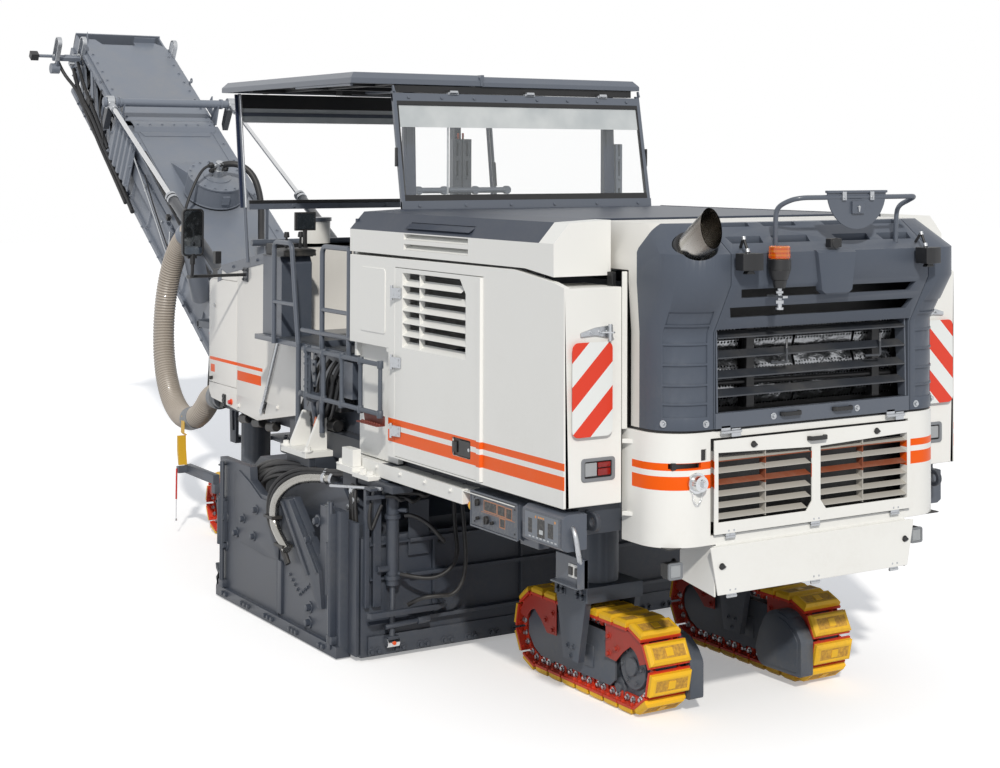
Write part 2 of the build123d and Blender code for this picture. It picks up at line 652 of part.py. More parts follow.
# Ladders, stowed along the sides
for name, side in (("left_ladder", 1), ("right_ladder", -1)):
    y = side * 1620
    with BuildPart() as ladder:
        for z in (1720, 2060):
            rod((2290, y, z), (3600, y, z), 17)
        for i in range(5):
            x = 2300 + 310 * i
            rod((x, y, 1720), (x, y, 2060), 15)
        rod(on_ladder_pin(side, -110), on_ladder_pin(side, 30), ladder_pin_r)
    ladder.part.label = name
    export_step(ladder.part, f"parts/{name}.step")

# Front body: two tank sides, joined above the passage of the loading belt
with BuildPart() as front_body:
    side_slab(
        (
            (4300, beam_z[1]),
            (4300, 2000),
            (4890, 2000),
            ledge[0],
            ledge[1],
            (front_x, 2380),
            (front_x, 1620),
            (6350, beam_z[1]),
        ),
        (-front_y, front_y),
    )
    tunnel = ((4200, 1400), (4200, 2600), (5400, 2600), (front_x + 50, 2350), (front_x + 50, 1400))
    side_slab(tunnel, (-tunnel_y, tunnel_y), Mode.SUBTRACT)
    for side in (1, -1):
        rod(
            (front_axle[0], side * front_axle[1], 1400),
            (front_axle[0], side * front_axle[1], guide_z[1] + 10),
            guide_r + 20,
            Mode.SUBTRACT,
        )
    # Slot that the right front tube of the canopy sinks into
    slot_x = (visor_foot[0] - 40, visor_foot[0] + 180)
    block(slot_x, (visor_y[0] - 30, visor_y[0] + 30), (visor_foot[1] - canopy_drop - 110, 3000), Mode.SUBTRACT)
front_body.part.label = "front_body"
export_step(front_body.part, "parts/front_body.step")

# Loading conveyor: a closed trough from the drum housing up to the front
with BuildPart() as loading_conveyor:
    side_slab(trough, (-480, 480))
    side_slab(((4810, 440), (4830, 430), (6970, 1890), (6950, 1910)), (-450, 450), Mode.SUBTRACT)
loading_conveyor.part.label = "loading_conveyor"
export_step(loading_conveyor.part, "parts/loading_conveyor.step")

# Hazard boards on the back of the towers, work lamps and control boxes
with BuildPart() as hazard_boards:
    both_sides((-30, -24), (1238, 1520), (1840, 2400))
    both_sides((-24, 0), (1300, 1460), (1900, 1930))
    both_sides((-24, 0), (1300, 1460), (2300, 2330))
hazard_boards.part.label = "hazard_boards"
export_step(hazard_boards.part, "parts/hazard_boards.step")

with BuildPart() as control_panels:
    both_sides((620, 1240), (1425, 1520), (1120, 1360))
    both_sides((100, 600), (1425, 1540), (1190, 1370))
    both_sides((300, 1100), (1420, 1425), (1200, 1400))
control_panels.part.label = "control_panels"
export_step(control_panels.part, "parts/control_panels.step")

with BuildPart() as work_lamps:
    both_sides((-180, -60), (tail_y - 65, tail_y + 35), (1060, 1160))
    both_sides((-130, -110), (tail_y - 28, tail_y - 2), (1160, tail_z[0]))
    both_sides((4600, 4700), (1105, 1205), (1300, 1390))
    for side in (1, -1):
        arm_foot = side * (front_y + seat_gap)
        arm_x, arm_y, arm_z = mirror_x + 160, side * 1740, 2480
        bent_tube(
            ((arm_x, arm_foot, arm_z), (arm_x, arm_y, arm_z), (mirror_x, arm_y, arm_z), (mirror_x, arm_y, 2700)), 60, 14
        )
        block((mirror_x - 20, mirror_x + 20), sorted((side * 1640, side * 1840)), (2660, 3060))
work_lamps.part.label = "work_lamps"
export_step(work_lamps.part, "parts/work_lamps.step")

# Suction hose from the discharge conveyor round to the front body
with BuildPart() as suction_hose:
    bent_tube(
        (
            (front_beam_x + 0.3, 1080, 1330),
            (6860, 1080, 1330),
            (7100, 1080, 1120),
            (7700, 1060, 1000),
            (8350, 1000, 1350),
            (8500, 960, 2000),
            (8200, 930, 2600),
            (7900, 900, 2780),
        ),
        180,
        105,
    )
suction_hose.part.label = "suction_hose"
export_step(suction_hose.part, "parts/suction_hose.step")

# Canopy: roof, posts with screen frames, and panes
with BuildPart() as canopy_roof:
    side_slab(
        (
            (roof_x[0], roof_z[0] + 40),
            (roof_x[0] + 40, roof_z[0]),
            (roof_x[1] - 40, roof_z[0]),
            (roof_x[1], roof_z[0] + 40),
            (roof_x[1] - 160, roof_z[1]),
            (roof_x[0] + 160, roof_z[1]),
        ),
        roof_y,
    )
canopy_roof.part.label = "canopy_roof"
export_step(canopy_roof.part, "parts/canopy_roof.step")

screen_y = 1110


def visor_x(z):
    """Station of the raked front tubes at a height."""
    return visor_foot[0] + (z - visor_foot[1]) * visor_lean


with BuildPart() as canopy_frame:
    for x, y in posts:
        half = (post_size[0] / 2, post_size[1] / 2)
        block((x - half[0], x + half[0]), (y - half[1], y + half[1]), (2320, roof_z[0]))
    for side in (1, -1):
        side_rail = ((2980, 3110), (3010, 3110), (3190, 3980), (3160, 3980))
        side_slab(side_rail, sorted((side * screen_y, side * (screen_y - 30))))
    block((2980, 3010), (-screen_y, screen_y), (3090, 3125))
    block((3150, 3270), (-screen_y, screen_y), (3980, roof_z[0]))
    tube_top = roof_z[0] - 2.5
    for y in visor_y:
        rod((visor_foot[0], y, visor_foot[1]), (visor_x(tube_top), y, tube_top), visor_r)
    bar_x = visor_x(3855)
    block((bar_x - visor_r, bar_x + visor_r), visor_y, (3840, 3870))
canopy_frame.part.label = "canopy_frame"
export_step(canopy_frame.part, "parts/canopy_frame.step")

with BuildPart() as canopy_screens:
    side_slab(((2992, 3125), (2998, 3125), (3178, 3980), (3172, 3980)), (-screen_y + 30, screen_y - 30))
    pane_z = (3870, roof_z[0])
    side_slab(
        [(visor_x(z) + off, z) for z, off in ((pane_z[0], -3), (pane_z[0], 3), (pane_z[1], 3), (pane_z[1], -3))],
        (visor_y[0] + 20, visor_y[1] - 20),
    )
canopy_screens.part.label = "canopy_screens"
export_step(canopy_screens.part, "parts/canopy_screens.step")

# Slew frame: turntable, cheeks and masts that carry the discharge conveyor
with BuildPart() as slew_frame:
    rod((slew_x, 0, slew_z[1] + 0.5), (slew_x, 0, slew_z[1] + 60), 300)
    block((slew_x, luff_x + 40), (-280, 280), (slew_z[1] + 20, slew_z[1] + 60))
    block((luff_x - 100, luff_x + 40), (-cheek_y[1], cheek_y[1]), (slew_z[1] + 20, slew_z[1] + 60))
    for side in (1, -1):
        side_slab(
            (
                (luff_x - 100, slew_z[1] + 20),
                (luff_x + 40, slew_z[1] + 20),
                (luff_x + 90, luff_z),
                (mast[0] + 60, mast[1] - 60),
                (mast[0] + 60, mast[1] + 60),
                (mast[0] - 60, mast[1] + 60),
                (luff_x - 100, luff_z),
            ),
            sorted((side * cheek_y[0], side * cheek_y[1])),
        )
        rod((luff_x, side * 505, luff_z), (luff_x, side * cheek_y[1], luff_z), 40)
        rod((mast[0], side * cheek_y[1], mast[1]), (mast[0], side * (cylinder_y + 45), mast[1]), 30)
slew_frame.part.label = "slew_frame"
export_step(slew_frame.part, "parts/slew_frame.step")

# Luff cylinders: barrels on the masts, rods towards the cross tube
up = math.radians(boom_angle)
tube_at = (
    luff_x + cross_tube[0] * math.cos(up) - cross_tube[1] * math.sin(up),
    luff_z + cross_tube[0] * math.sin(up) + cross_tube[1] * math.cos(up),
)
stay_l = math.hypot(tube_at[0] - mast[0], tube_at[1] - mast[1])
stay = ((tube_at[0] - mast[0]) / stay_l, (tube_at[1] - mast[1]) / stay_l)


def on_stay(distance, y):
    """A point on the axis of a luff cylinder."""
    return (mast[0] + stay[0] * distance, y, mast[1] + stay[1] * distance)


with BuildPart() as luff_barrels:
    for side in (1, -1):
        y = side * cylinder_y
        rod(on_stay(60, y), on_stay(1700, y), 50)
        rod(on_stay(200, y), on_stay(1710, y), 25 + running_gap, Mode.SUBTRACT)
        rod((mast[0], y - 30, mast[1]), (mast[0], y + 30, mast[1]), 62)
        rod((mast[0], y - 40, mast[1]), (mast[0], y + 40, mast[1]), 30 + running_gap, Mode.SUBTRACT)
luff_barrels.part.label = "luff_barrels"
export_step(luff_barrels.part, "parts/luff_barrels.step")

with BuildPart() as luff_rods:
    for side in (1, -1):
        y = side * cylinder_y
        rod(on_stay(900, y), on_stay(stay_l - 60, y), 25)
luff_rods.part.label = "luff_rods"
export_step(luff_rods.part, "parts/luff_rods.step")

# Discharge conveyor in its own plane: X along the boom, Z away from the cover
boom = Plane(
    origin=(X0 + luff_x, 0, luff_z),
    x_dir=(math.cos(up), 0, math.sin(up)),
    z_dir=(-math.sin(up), 0, math.cos(up)),
)


def on_boom(along, off):
    """Station and height of a point given along the boom and off its axis."""
    return (
        luff_x + along * math.cos(up) - off * math.sin(up),
        luff_z + along * math.sin(up) + off * math.cos(up),
    )


def boom_block(x, y, z, mode=Mode.ADD):
    """A box in the boom's plane."""
    with Locations(((x[0] + x[1]) / 2, (y[0] + y[1]) / 2, (z[0] + z[1]) / 2)):
        Box(x[1] - x[0], y[1] - y[0], z[1] - z[0], mode=mode)


with BuildPart(boom) as conveyor_frame:
    for side in (1, -1):
        side_slab(
            [
                on_boom(*point)
                for point in (
                    (-350, -300),
                    (-350, 10),
                    (-100, 70),
                    (290, 140),
                    (320, 200),
                    (boom_l - 300, 200),
                    (boom_l - 300, -300),
                )
            ],
            sorted((side * 500, side * 520)),
        )
        boom_block((300, boom_l - 300), sorted((side * 500, side * 520)), (-420, -300))
    boom_block((900, boom_l - 100), (-boom_half, boom_half), (200, 220))
    boom_block((300, boom_l - 300), (-500, 500), (-440, -420))
    with Locations((cross_tube[0], 0, cross_tube[1])):
        Cylinder(45, 2 * 780, rotation=(90, 0, 0))
    for side in (1, -1):
        boom_block(
            (cross_tube[0] - 60, cross_tube[0] + 60), sorted((side * 530, side * 550)), (200, cross_tube[1])
        )
    with Locations((2740, 0, 220 + 125)):
        Cylinder(310, 250)
    for side in (1, -1):
        boom_block((-100, 4200), sorted((side * 520, side * 560)), (-120, 60))
    for side in (1, -1):
        boom_block((boom_l - 300, boom_l), sorted((side * 500, side * 520)), (-240, 200))
    boom_block((boom_l - 110, boom_l), (-520, 520), (200, 220))
    boom_block((boom_l - 20, boom_l), (-520, 520), (60, 220))
    with Locations((0, 0, 0)):
        Cylinder(40 + running_gap, 1300, rotation=(90, 0, 0), mode=Mode.SUBTRACT)
conveyor_frame.part.label = "conveyor_frame"
export_step(conveyor_frame.part, "parts/conveyor_frame.step")

with BuildPart(boom) as conveyor_belt:
    boom_block((-300, boom_l - 330), (-425, 425), (60, 75))
    boom_block((-300, boom_l - 330), (-425, 425), (-280, -265))
    for x in (-200, boom_l - 450):
        with Locations((x, 0, -102.5)):
            Cylinder(162.2, 900, rotation=(90, 0, 0))
            Cylinder(30, 1000 - 2 * seat_gap, rotation=(90, 0, 0))
conveyor_belt.part.label = "conveyor_belt"
export_step(conveyor_belt.part, "parts/conveyor_belt.step")
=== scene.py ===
import math

import bmesh
import bpy
from mathutils import Matrix, Vector


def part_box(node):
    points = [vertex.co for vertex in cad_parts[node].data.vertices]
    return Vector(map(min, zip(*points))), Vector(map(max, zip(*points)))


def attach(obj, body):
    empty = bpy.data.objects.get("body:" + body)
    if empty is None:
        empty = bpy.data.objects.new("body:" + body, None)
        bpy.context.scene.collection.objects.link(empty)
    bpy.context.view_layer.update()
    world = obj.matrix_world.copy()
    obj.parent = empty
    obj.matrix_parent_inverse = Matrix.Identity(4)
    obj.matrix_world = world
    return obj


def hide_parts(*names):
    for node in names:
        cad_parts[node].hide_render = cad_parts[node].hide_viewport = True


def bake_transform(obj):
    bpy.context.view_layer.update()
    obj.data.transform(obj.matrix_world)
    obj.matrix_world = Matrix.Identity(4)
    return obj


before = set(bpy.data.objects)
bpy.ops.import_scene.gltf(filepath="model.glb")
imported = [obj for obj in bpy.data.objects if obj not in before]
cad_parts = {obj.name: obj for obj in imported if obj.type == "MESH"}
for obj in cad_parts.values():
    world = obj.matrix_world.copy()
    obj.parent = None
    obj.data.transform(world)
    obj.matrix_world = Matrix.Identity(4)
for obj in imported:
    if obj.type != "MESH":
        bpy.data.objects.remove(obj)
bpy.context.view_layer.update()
tower_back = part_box("radiator")[0].x - 0.060


def at(x, y, z):
    """A point in millimetres: forward of the towers' back faces, left of the middle, above the ground."""
    return Vector((tower_back + x / 1000, y / 1000, z / 1000))


# Stand, camera and daylight. The planer is parked on a pale floor under a bright sky, with a soft sun
# high behind its left rear corner, and is looked at from behind and to the left.
scene = bpy.context.scene
scene.view_settings.view_transform = "Standard"
eye = bpy.data.cameras.new("camera")
eye.sensor_width = 36
eye.lens = 65.53
eye.shift_x, eye.shift_y = -0.1275, -0.2605
eye.clip_end = 200
camera = bpy.data.objects.new("camera", eye)
scene.collection.objects.link(camera)
# The lens is shifted, so a view from anywhere else turns and rises by as much, which keeps the object in
# the middle.
camera.rotation_mode = "QUATERNION"
turn_back = math.atan(eye.shift_x * eye.sensor_width / eye.lens)
camera.delta_rotation_quaternion = (math.cos(turn_back / 2), 0, 0, math.sin(turn_back / 2))
camera.delta_location = (0, 0, 5.4)
yaw, pitch, roll = -0.5896, 0.0198, 0.0021
ahead = Vector((math.cos(pitch) * math.cos(yaw), math.cos(pitch) * math.sin(yaw), math.sin(pitch)))
flat_right = ahead.cross(Vector((0, 0, 1))).normalized()
flat_up = flat_right.cross(ahead)
right = math.cos(roll) * flat_right + math.sin(roll) * flat_up
up = math.cos(roll) * flat_up - math.sin(roll) * flat_right
turned = Matrix((right, up, -ahead)).transposed().to_4x4()
camera.matrix_world = Matrix.Translation(at(-9075.5, 7187.9, 3474.8)) @ turned
scene.camera = camera


def add(tree, kind, settings=None, **inputs):
    """Adds a shader node with its settings; each input is a value or another node's output."""
    made = tree.nodes.new("ShaderNode" + kind)
    for key, value in (settings or {}).items():
        setattr(made, key, value)
    for key, value in inputs.items():
        by_number = key[0] == "n" and key[1:].isdigit()
        socket = made.inputs[int(key[1:]) if by_number else key.replace("_", " ")]
        if isinstance(value, bpy.types.NodeSocket):
            tree.links.new(value, socket)
        else:
            socket.default_value = value
    return made


def paint(code):
    """Linear colour of an sRGB hex value."""
    parts = [int(code[i : i + 2], 16) / 255 for i in (1, 3, 5)]
    return (*(c / 12.92 if c <= 0.04045 else ((c + 0.055) / 1.055) ** 2.4 for c in parts), 1.0)


def worked_out(tree, how, a, b):
    """A sum or comparison of two values, each a number or an output."""
    return add(tree, "Math", {"operation": how}, n0=a, n1=b).outputs[0]


def seen_directly(tree):
    """One where a ray goes straight to the camera, or there by a mirror or a pane."""
    path = add(tree, "LightPath")
    rays = [path.outputs[f"Is {kind} Ray"] for kind in ("Camera", "Glossy", "Transmission")]
    two = worked_out(tree, "MAXIMUM", rays[0], rays[1])
    return worked_out(tree, "MAXIMUM", two, rays[2])


sky = bpy.data.worlds.new("sky")
sky.use_nodes = True
scene.world = sky
air = sky.node_tree
air.nodes.clear()
dome = add(air, "Background", Color=paint("#e9eef5"), Strength=0.57)
white = add(air, "Background", Color=(1, 1, 1, 1), Strength=1.0)
both = add(air, "MixShader", n0=seen_directly(air), n1=dome.outputs[0], n2=white.outputs[0])
add(air, "OutputWorld", Surface=both.outputs[0])
sun = bpy.data.lights.new("sun", "SUN")
sun.energy = 2.35
sun.angle = math.radians(2.5)
sun.color = paint("#fffaf1")[:3]
sun_at = bpy.data.objects.new("sun", sun)
sun_at.matrix_world = Vector((-0.82, 0.42, 0.64)).to_track_quat("Z", "Y").to_matrix().to_4x4()
scene.collection.objects.link(sun_at)
ground = bmesh.new()
bmesh.ops.create_grid(ground, x_segments=1, y_segments=1, size=60)
floor_mesh = bpy.data.meshes.new("floor")
ground.to_mesh(floor_mesh)
ground.free()
floor = bpy.data.objects.new("floor", floor_mesh)
scene.collection.objects.link(floor)
concrete = bpy.data.materials.new("pale_floor")
concrete.use_nodes = True
slab = concrete.node_tree
slab.nodes.clear()
# The floor keeps the shadow: a matt surface lit by the sky and sun, lifted to white where it is fully lit.
matt = add(slab, "BsdfDiffuse", Color=(0.90, 0.90, 0.91, 1))
lift = add(slab, "Emission", Color=(1, 1, 1, 1), Strength=0.32)
lit = add(slab, "AddShader", n0=matt.outputs[0], n1=lift.outputs[0])
plain = add(slab, "BsdfDiffuse", Color=(0.62, 0.62, 0.63, 1))
floor_look = add(slab, "MixShader", n0=seen_directly(slab), n1=plain.outputs[0], n2=lit.outputs[0])
add(slab, "OutputMaterial", Surface=floor_look.outputs[0])
floor_mesh.materials.append(concrete)

# White engine enclosure: two side walls with corner towers, the shoulders above them and the deck.
# Pressed and welded steel sheet, sprayed and stoved white; the shoulders bolt on over a rubber-sealed gap.


def block(bm, x, y, z):
    """A box between three pairs of millimetres."""
    centre = at((x[0] + x[1]) / 2, (y[0] + y[1]) / 2, (z[0] + z[1]) / 2)
    size = Matrix.Diagonal(((x[1] - x[0]) / 1000, (y[1] - y[0]) / 1000, (z[1] - z[0]) / 1000, 1))
    bmesh.ops.create_cube(bm, size=1, matrix=Matrix.Translation(centre) @ size)


def plate(bm, across, outline, low, high, corner=0, steps=3):
    """A flat outline seen along one axis, as thick as from low to high, with its corners rounded if asked."""
    lay = {
        "x": lambda a, b: at(low, a, b), "y": lambda a, b: at(a, low, b), "z": lambda a, b: at(a, b, low),
    }[across]
    before = set(bm.faces)
    ring = [bm.verts.new(lay(a, b)) for a, b in outline]
    bm.faces.new(ring)
    if corner:
        bmesh.ops.bevel(
            bm, geom=ring, offset=corner / 1000, segments=steps, profile=0.5, affect="VERTICES",
            material=-1, offset_type="OFFSET", clamp_overlap=True,
        )
    face = [f for f in bm.faces if f not in before]
    made = bmesh.ops.extrude_face_region(bm, geom=face)["geom"]
    step = Vector([(high - low) / 1000 if axis == across else 0 for axis in "xyz"])
    bmesh.ops.translate(bm, verts=[v for v in made if isinstance(v, bmesh.types.BMVert)], vec=step)


def panel(bm, across, first, second, low, high, **corners):
    """A rectangular plate seen along one axis: its two spans, then as plate."""
    (a, b), (c, d) = first, second
    plate(bm, across, ((a, c), (a, d), (b, d), (b, c)), low, high, **corners)


def mirrored(bm):
    """The same again on the right-hand side."""
    made = bmesh.ops.duplicate(bm, geom=bm.verts[:] + bm.edges[:] + bm.faces[:])["geom"]
    bmesh.ops.scale(bm, verts=[v for v in made if isinstance(v, bmesh.types.BMVert)], vec=(1, -1, 1))
    bmesh.ops.reverse_faces(bm, faces=[f for f in made if isinstance(f, bmesh.types.BMFace)])
    return bm


def combine(bm, tool, how="DIFFERENCE"):
    """Cuts one closed shape from another, or welds the two into one."""
    holders = []
    for shape in (bm, tool):
        bmesh.ops.recalc_face_normals(shape, faces=shape.faces)
        mesh = bpy.data.meshes.new("work")
        shape.to_mesh(mesh)
        shape.free()
        holders.append(bpy.data.objects.new("work", mesh))
        scene.collection.objects.link(holders[-1])
    step = holders[0].modifiers.new("combine", "BOOLEAN")
    step.operation, step.solver, step.object = how, "EXACT", holders[1]
    step.use_self = True
    made = bmesh.new()
    made.from_mesh(holders[0].evaluated_get(bpy.context.evaluated_depsgraph_get()).to_mesh())
    for holder in holders:
        mesh = holder.data
        bpy.data.objects.remove(holder)
        bpy.data.meshes.remove(mesh)
    return made


def piece(name, bm, finish, body, slot, *stands_for, edge=4, steps=2):
    """The finished object: faces outwards, edges softened by so many millimetres, riding on its body if it
    is given one."""
    bmesh.ops.recalc_face_normals(bm, faces=bm.faces)
    mesh = bpy.data.meshes.new(name)
    bm.to_mesh(mesh)
    bm.free()
    mesh.materials.append(finish)
    for polygon in mesh.polygons:
        polygon.use_smooth = True
    made = bpy.data.objects.new(name, mesh)
    scene.collection.objects.link(made)
    if edge:
        soft = made.modifiers.new("softened edges", "BEVEL")
        soft.width = edge / 1000
        soft.segments = steps
        soft.limit_method = "ANGLE"
        soft.angle_limit = math.radians(32)
        soft.harden_normals = True
    else:
        mesh.set_sharp_from_angle(angle=math.radians(35))
    if body:
        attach(made, body)
    if stands_for:
        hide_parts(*stands_for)
    return made


def finish_of(name, colour, roughness, metallic=0.0):
    """A new material of one shader: its tree, the shader and the Object coordinates."""
    made = bpy.data.materials.new(name)
    made.use_nodes = True
    tree = made.node_tree
    shader = tree.nodes["Principled BSDF"]
    shader.inputs["Base Color"].default_value = paint(colour)
    shader.inputs["Roughness"].default_value = roughness
    shader.inputs["Metallic"].default_value = metallic
    return made, tree, shader, add(tree, "TexCoord").outputs["Object"]


def wire(shader, name, output):
    """Feeds one input of the shader from another node."""
    shader.id_data.links.new(output, shader.inputs[name])


def bumped(shader, height, strength, depth):
    """Relief in the surface, so many metres deep."""
    relief = add(shader.id_data, "Bump", Strength=strength, Distance=depth, Height=height)
    wire(shader, "Normal", relief.outputs[0])


def stretched(tree, value, low, high, to_low=0.0, to_high=1.0):
    """A value's range carried to another range."""
    return add(tree, "MapRange", Value=value, n1=low, n2=high, n3=to_low, n4=to_high).outputs[0]


def size_of(tree, value):
    """A value without its sign."""
    return add(tree, "Math", {"operation": "ABSOLUTE"}, n0=value).outputs[0]


def inside(tree, value, low, high):
    """One where a coordinate lies between two millimetre stations."""
    middle, half = (low + high) / 2000, abs(high - low) / 2000
    return add(tree, "Math", {"operation": "COMPARE"}, n0=value, n1=middle, n2=half).outputs[0]


def both_of(tree, a, b):
    """One where both are."""
    return worked_out(tree, "MULTIPLY", a, b)


def mixed(tree, factor, a, b):
    """Two colours, hex values or outputs, mixed by a factor."""
    a, b = (paint(c) if isinstance(c, str) else c for c in (a, b))
    return add(tree, "Mix", {"data_type": "RGBA"}, Factor=factor, n6=a, n7=b).outputs[2]


def weathered(tree, shader, place, colour, dust, amount, roughness, coat=0.0):
    """Site dust on stoved enamel: it gathers on what faces up and low down, and dulls the gloss. The skin
    keeps a slight orange peel, drawn at 12 mm because the real 2 mm is too fine to show."""
    cloud = add(tree, "TexNoise", Vector=place, Scale=2.2, Detail=6.0, Roughness=0.62)
    speck = add(tree, "TexNoise", Vector=place, Scale=34.0, Detail=3.0, Roughness=0.7)
    height = add(tree, "SeparateXYZ", Vector=place).outputs["Z"]
    low_down = stretched(tree, height, 2.6, 0.1, 0.15, 1.0)
    upward = add(tree, "SeparateXYZ", Vector=add(tree, "NewGeometry").outputs["Normal"]).outputs["Z"]
    lying = stretched(tree, upward, 0.4, 1.0, 0.0, 0.7)
    patch = stretched(tree, cloud.outputs["Fac"], 0.42, 0.72)
    grain = stretched(tree, speck.outputs["Fac"], 0.35, 0.75, 0.3, 1.0)
    where = worked_out(tree, "MAXIMUM", low_down, lying)
    film = both_of(tree, both_of(tree, patch, grain), where)
    film = add(tree, "Math", {"operation": "MULTIPLY", "use_clamp": True}, n0=film, n1=amount).outputs[0]
    wire(shader, "Base Color", mixed(tree, film, colour, dust))
    rough = stretched(tree, film, 0.0, 1.0, roughness, min(roughness + 0.35, 0.95))
    wire(shader, "Roughness", rough)
    shader.inputs["Coat Weight"].default_value = coat
    shader.inputs["Coat Roughness"].default_value = 0.12
    peel = add(tree, "TexNoise", Vector=place, Scale=85.0, Detail=2.0)
    bumped(shader, peel.outputs["Fac"], 0.06, 0.0008)


def striped_enamel(name, base, bands, dust="#b5ad9f", amount=0.2, roughness=0.4):
    """White stoved enamel with masked bands: each band is a colour and its mask's outputs."""
    made, tree, shader, place = finish_of(name, base, roughness)
    axes = add(tree, "SeparateXYZ", Vector=place)
    colour = paint(base)
    for tint, mask in bands:
        colour = mixed(tree, mask(tree, axes), colour, tint)
    weathered(tree, shader, place, colour, dust, amount, roughness)
    shader.inputs["Specular IOR Level"].default_value = 0.2
    return made


def shell_stripes(tree, axes):
    """Two orange stripes along the walls and round the tail, but not across the backs of the towers."""
    thick = inside(tree, axes.outputs["Z"], 1537, 1618)
    thin = inside(tree, axes.outputs["Z"], 1652, 1696)
    rows = worked_out(tree, "MAXIMUM", thick, thin)
    wide = size_of(tree, axes.outputs["Y"])
    walls = worked_out(tree, "GREATER_THAN", wide, 1.5545)
    tail = inside(tree, axes.outputs["X"], tower_back * 1000 - 417.5, tower_back * 1000 - 60)
    return both_of(tree, rows, worked_out(tree, "MAXIMUM", walls, tail))


def shoulder_band(tree, axes):
    """The dark band along the sloping tops of the shoulders."""
    high = worked_out(tree, "GREATER_THAN", axes.outputs["Z"], 2.974)
    ahead_of = worked_out(tree, "GREATER_THAN", axes.outputs["X"], tower_back + 0.29)
    return both_of(tree, high, ahead_of)


white_enamel = striped_enamel(
    "white_stoved_enamel", "#ebebe8", (("#f05c00", shell_stripes), ("#3f4653", shoulder_band))
)

walls = bmesh.new()
wall_edge = (
    (0, 1430), (0, 2722), (120, 2748), (590, 2800), (2920, 2792), (2920, 2170), (2300, 2170), (2300, 1430),
)
plate(walls, "y", wall_edge, 1520, 1560)
tower = bmesh.new()
block(tower, (0, 420), (1156, 1545), (1430, 2715))
walls = combine(walls, tower, "UNION")
openings = bmesh.new()
panel(openings, "y", (966, 2204), (1441, 2734), 1500, 1600)
panel(openings, "x", (1208, 1436), (1578, 1708), -40, 60, corner=18)
walls = combine(walls, openings)
block(walls, (2300, 2915), (1440, 1480), (1362, 2165))
block(walls, (2296, 2340), (1480, 1556), (2140, 2180))
block(walls, (2884, 2920), (0, 1520), (2065, 3046))
block(walls, (-16, -2), (1124, 1158), (1868, 2806))
piece(
    "side_walls_and_towers", mirrored(walls), white_enamel, "machine", "white_paint", "body_shell", edge=7,
)

cover = bmesh.new()
plate(cover, "x", ((1156, 2815), (1560, 2815), (1560, 2975), (1450, 3096), (1156, 3110)), 120, 2920)
nose = bmesh.new()
plate(nose, "y", ((120, 2778), (590, 2830), (590, 2822), (2000, 2830), (120, 2900)), 1156, 1560)
cover = combine(cover, nose, "UNION")
slots = bmesh.new()
for low in (2858, 2926, 3003):
    panel(slots, "y", (1168, 2070), (low, low + 40), 1440, 1700)
cover = combine(cover, slots)
piece("shoulder_covers", mirrored(cover), white_enamel, "machine", "white_paint", edge=9)

blades = bmesh.new()
for low in (2858, 2926, 3003):
    plate(blades, "x", ((1556, low + 2), (1500, low + 36), (1494, low + 36), (1550, low - 2)), 1168, 2070)
piece("shoulder_louvre_blades", mirrored(blades), white_enamel, "machine", "white_paint", edge=1)

panels = bmesh.new()
panel(panels, "y", (2345, 2735), (2262, 2715), 1558, 1566, corner=26, steps=4)
piece("service_plates", mirrored(panels), white_enamel, "machine", "white_paint", edge=4)

deck = bmesh.new()
block(deck, (500, 2920), (-1158, 1158), (3050, 3106))
piece("engine_deck", deck, white_enamel, "machine", "white_paint", edge=6)

# Tail shell under the hood: one sheet rolled round both rear corners, with a window for the cooling air,
# the emergency-stop slot, a latch recess and welded lugs. Steel sheet in the same white enamel.


def round_edges(bm, along, radius, chosen, steps=8):
    """Rounds the edges that run along an axis and whose two ends pass a test."""
    axis = "xyz".index(along)
    picked = []
    for edge in bm.edges:
        run = edge.verts[1].co - edge.verts[0].co
        if abs(run[axis]) > 0.98 * run.length and all(chosen(v.co) for v in edge.verts):
            picked.append(edge)
    bmesh.ops.bevel(
        bm, geom=picked, offset=radius / 1000, segments=steps, profile=0.5, affect="EDGES", material=-1,
        offset_type="OFFSET",
    )


def at_the_tail(corner):
    """Whether a corner is one of those that the tail's sheet is rolled round."""
    return corner.x < at(-300, 0, 0).x


shell = bmesh.new()
block(shell, (-390, 50), (-1120, 1120), (1200, 1868))
round_edges(shell, "z", 250, at_the_tail, steps=10)
hollow = bmesh.new()
block(hollow, (-362, 90), (-1092, 1092), (1100, 1950))
round_edges(hollow, "z", 222, at_the_tail, steps=10)
shell = combine(shell, hollow)
windows = bmesh.new()
block(windows, (-450, -300), (-780, 780), (1256, 1826))
block(windows, (-450, -230), (850, 1040), (1662, 1692))
block(windows, (-450, -300), (812, 850), (1702, 1768))
shell = combine(shell, windows)
for low in (1355, 1785):
    for side in (1, -1):
        plate(shell, "z", ((-8, side * 1118), (-70, side * 1118), (-12, side * 1160)), low, low + 26)
for side in (1, -1):
    plate(shell, "y", ((-392, 1194), (-40, 1194), (-40, 938), (-392, 892)), side * 744, side * 756)
    panel(shell, "x", (side * 744, side * 300), (1196, 1240), -388, -380)
block(shell, (-392, -384), (-744, 744), (1150, 1206))
piece("tail_shell", shell, white_enamel, "machine", "white_paint", edge=5)

# Rubber and plastic round the tail: the seal under the hood, the backs of the slot and of the latch recess.
# EPDM profile and injection-moulded nylon, both carbon-black through and through, pressed or clipped on.


def about(middle, half):
    """From and to, half to each side of a middle."""
    return middle - half, middle + half


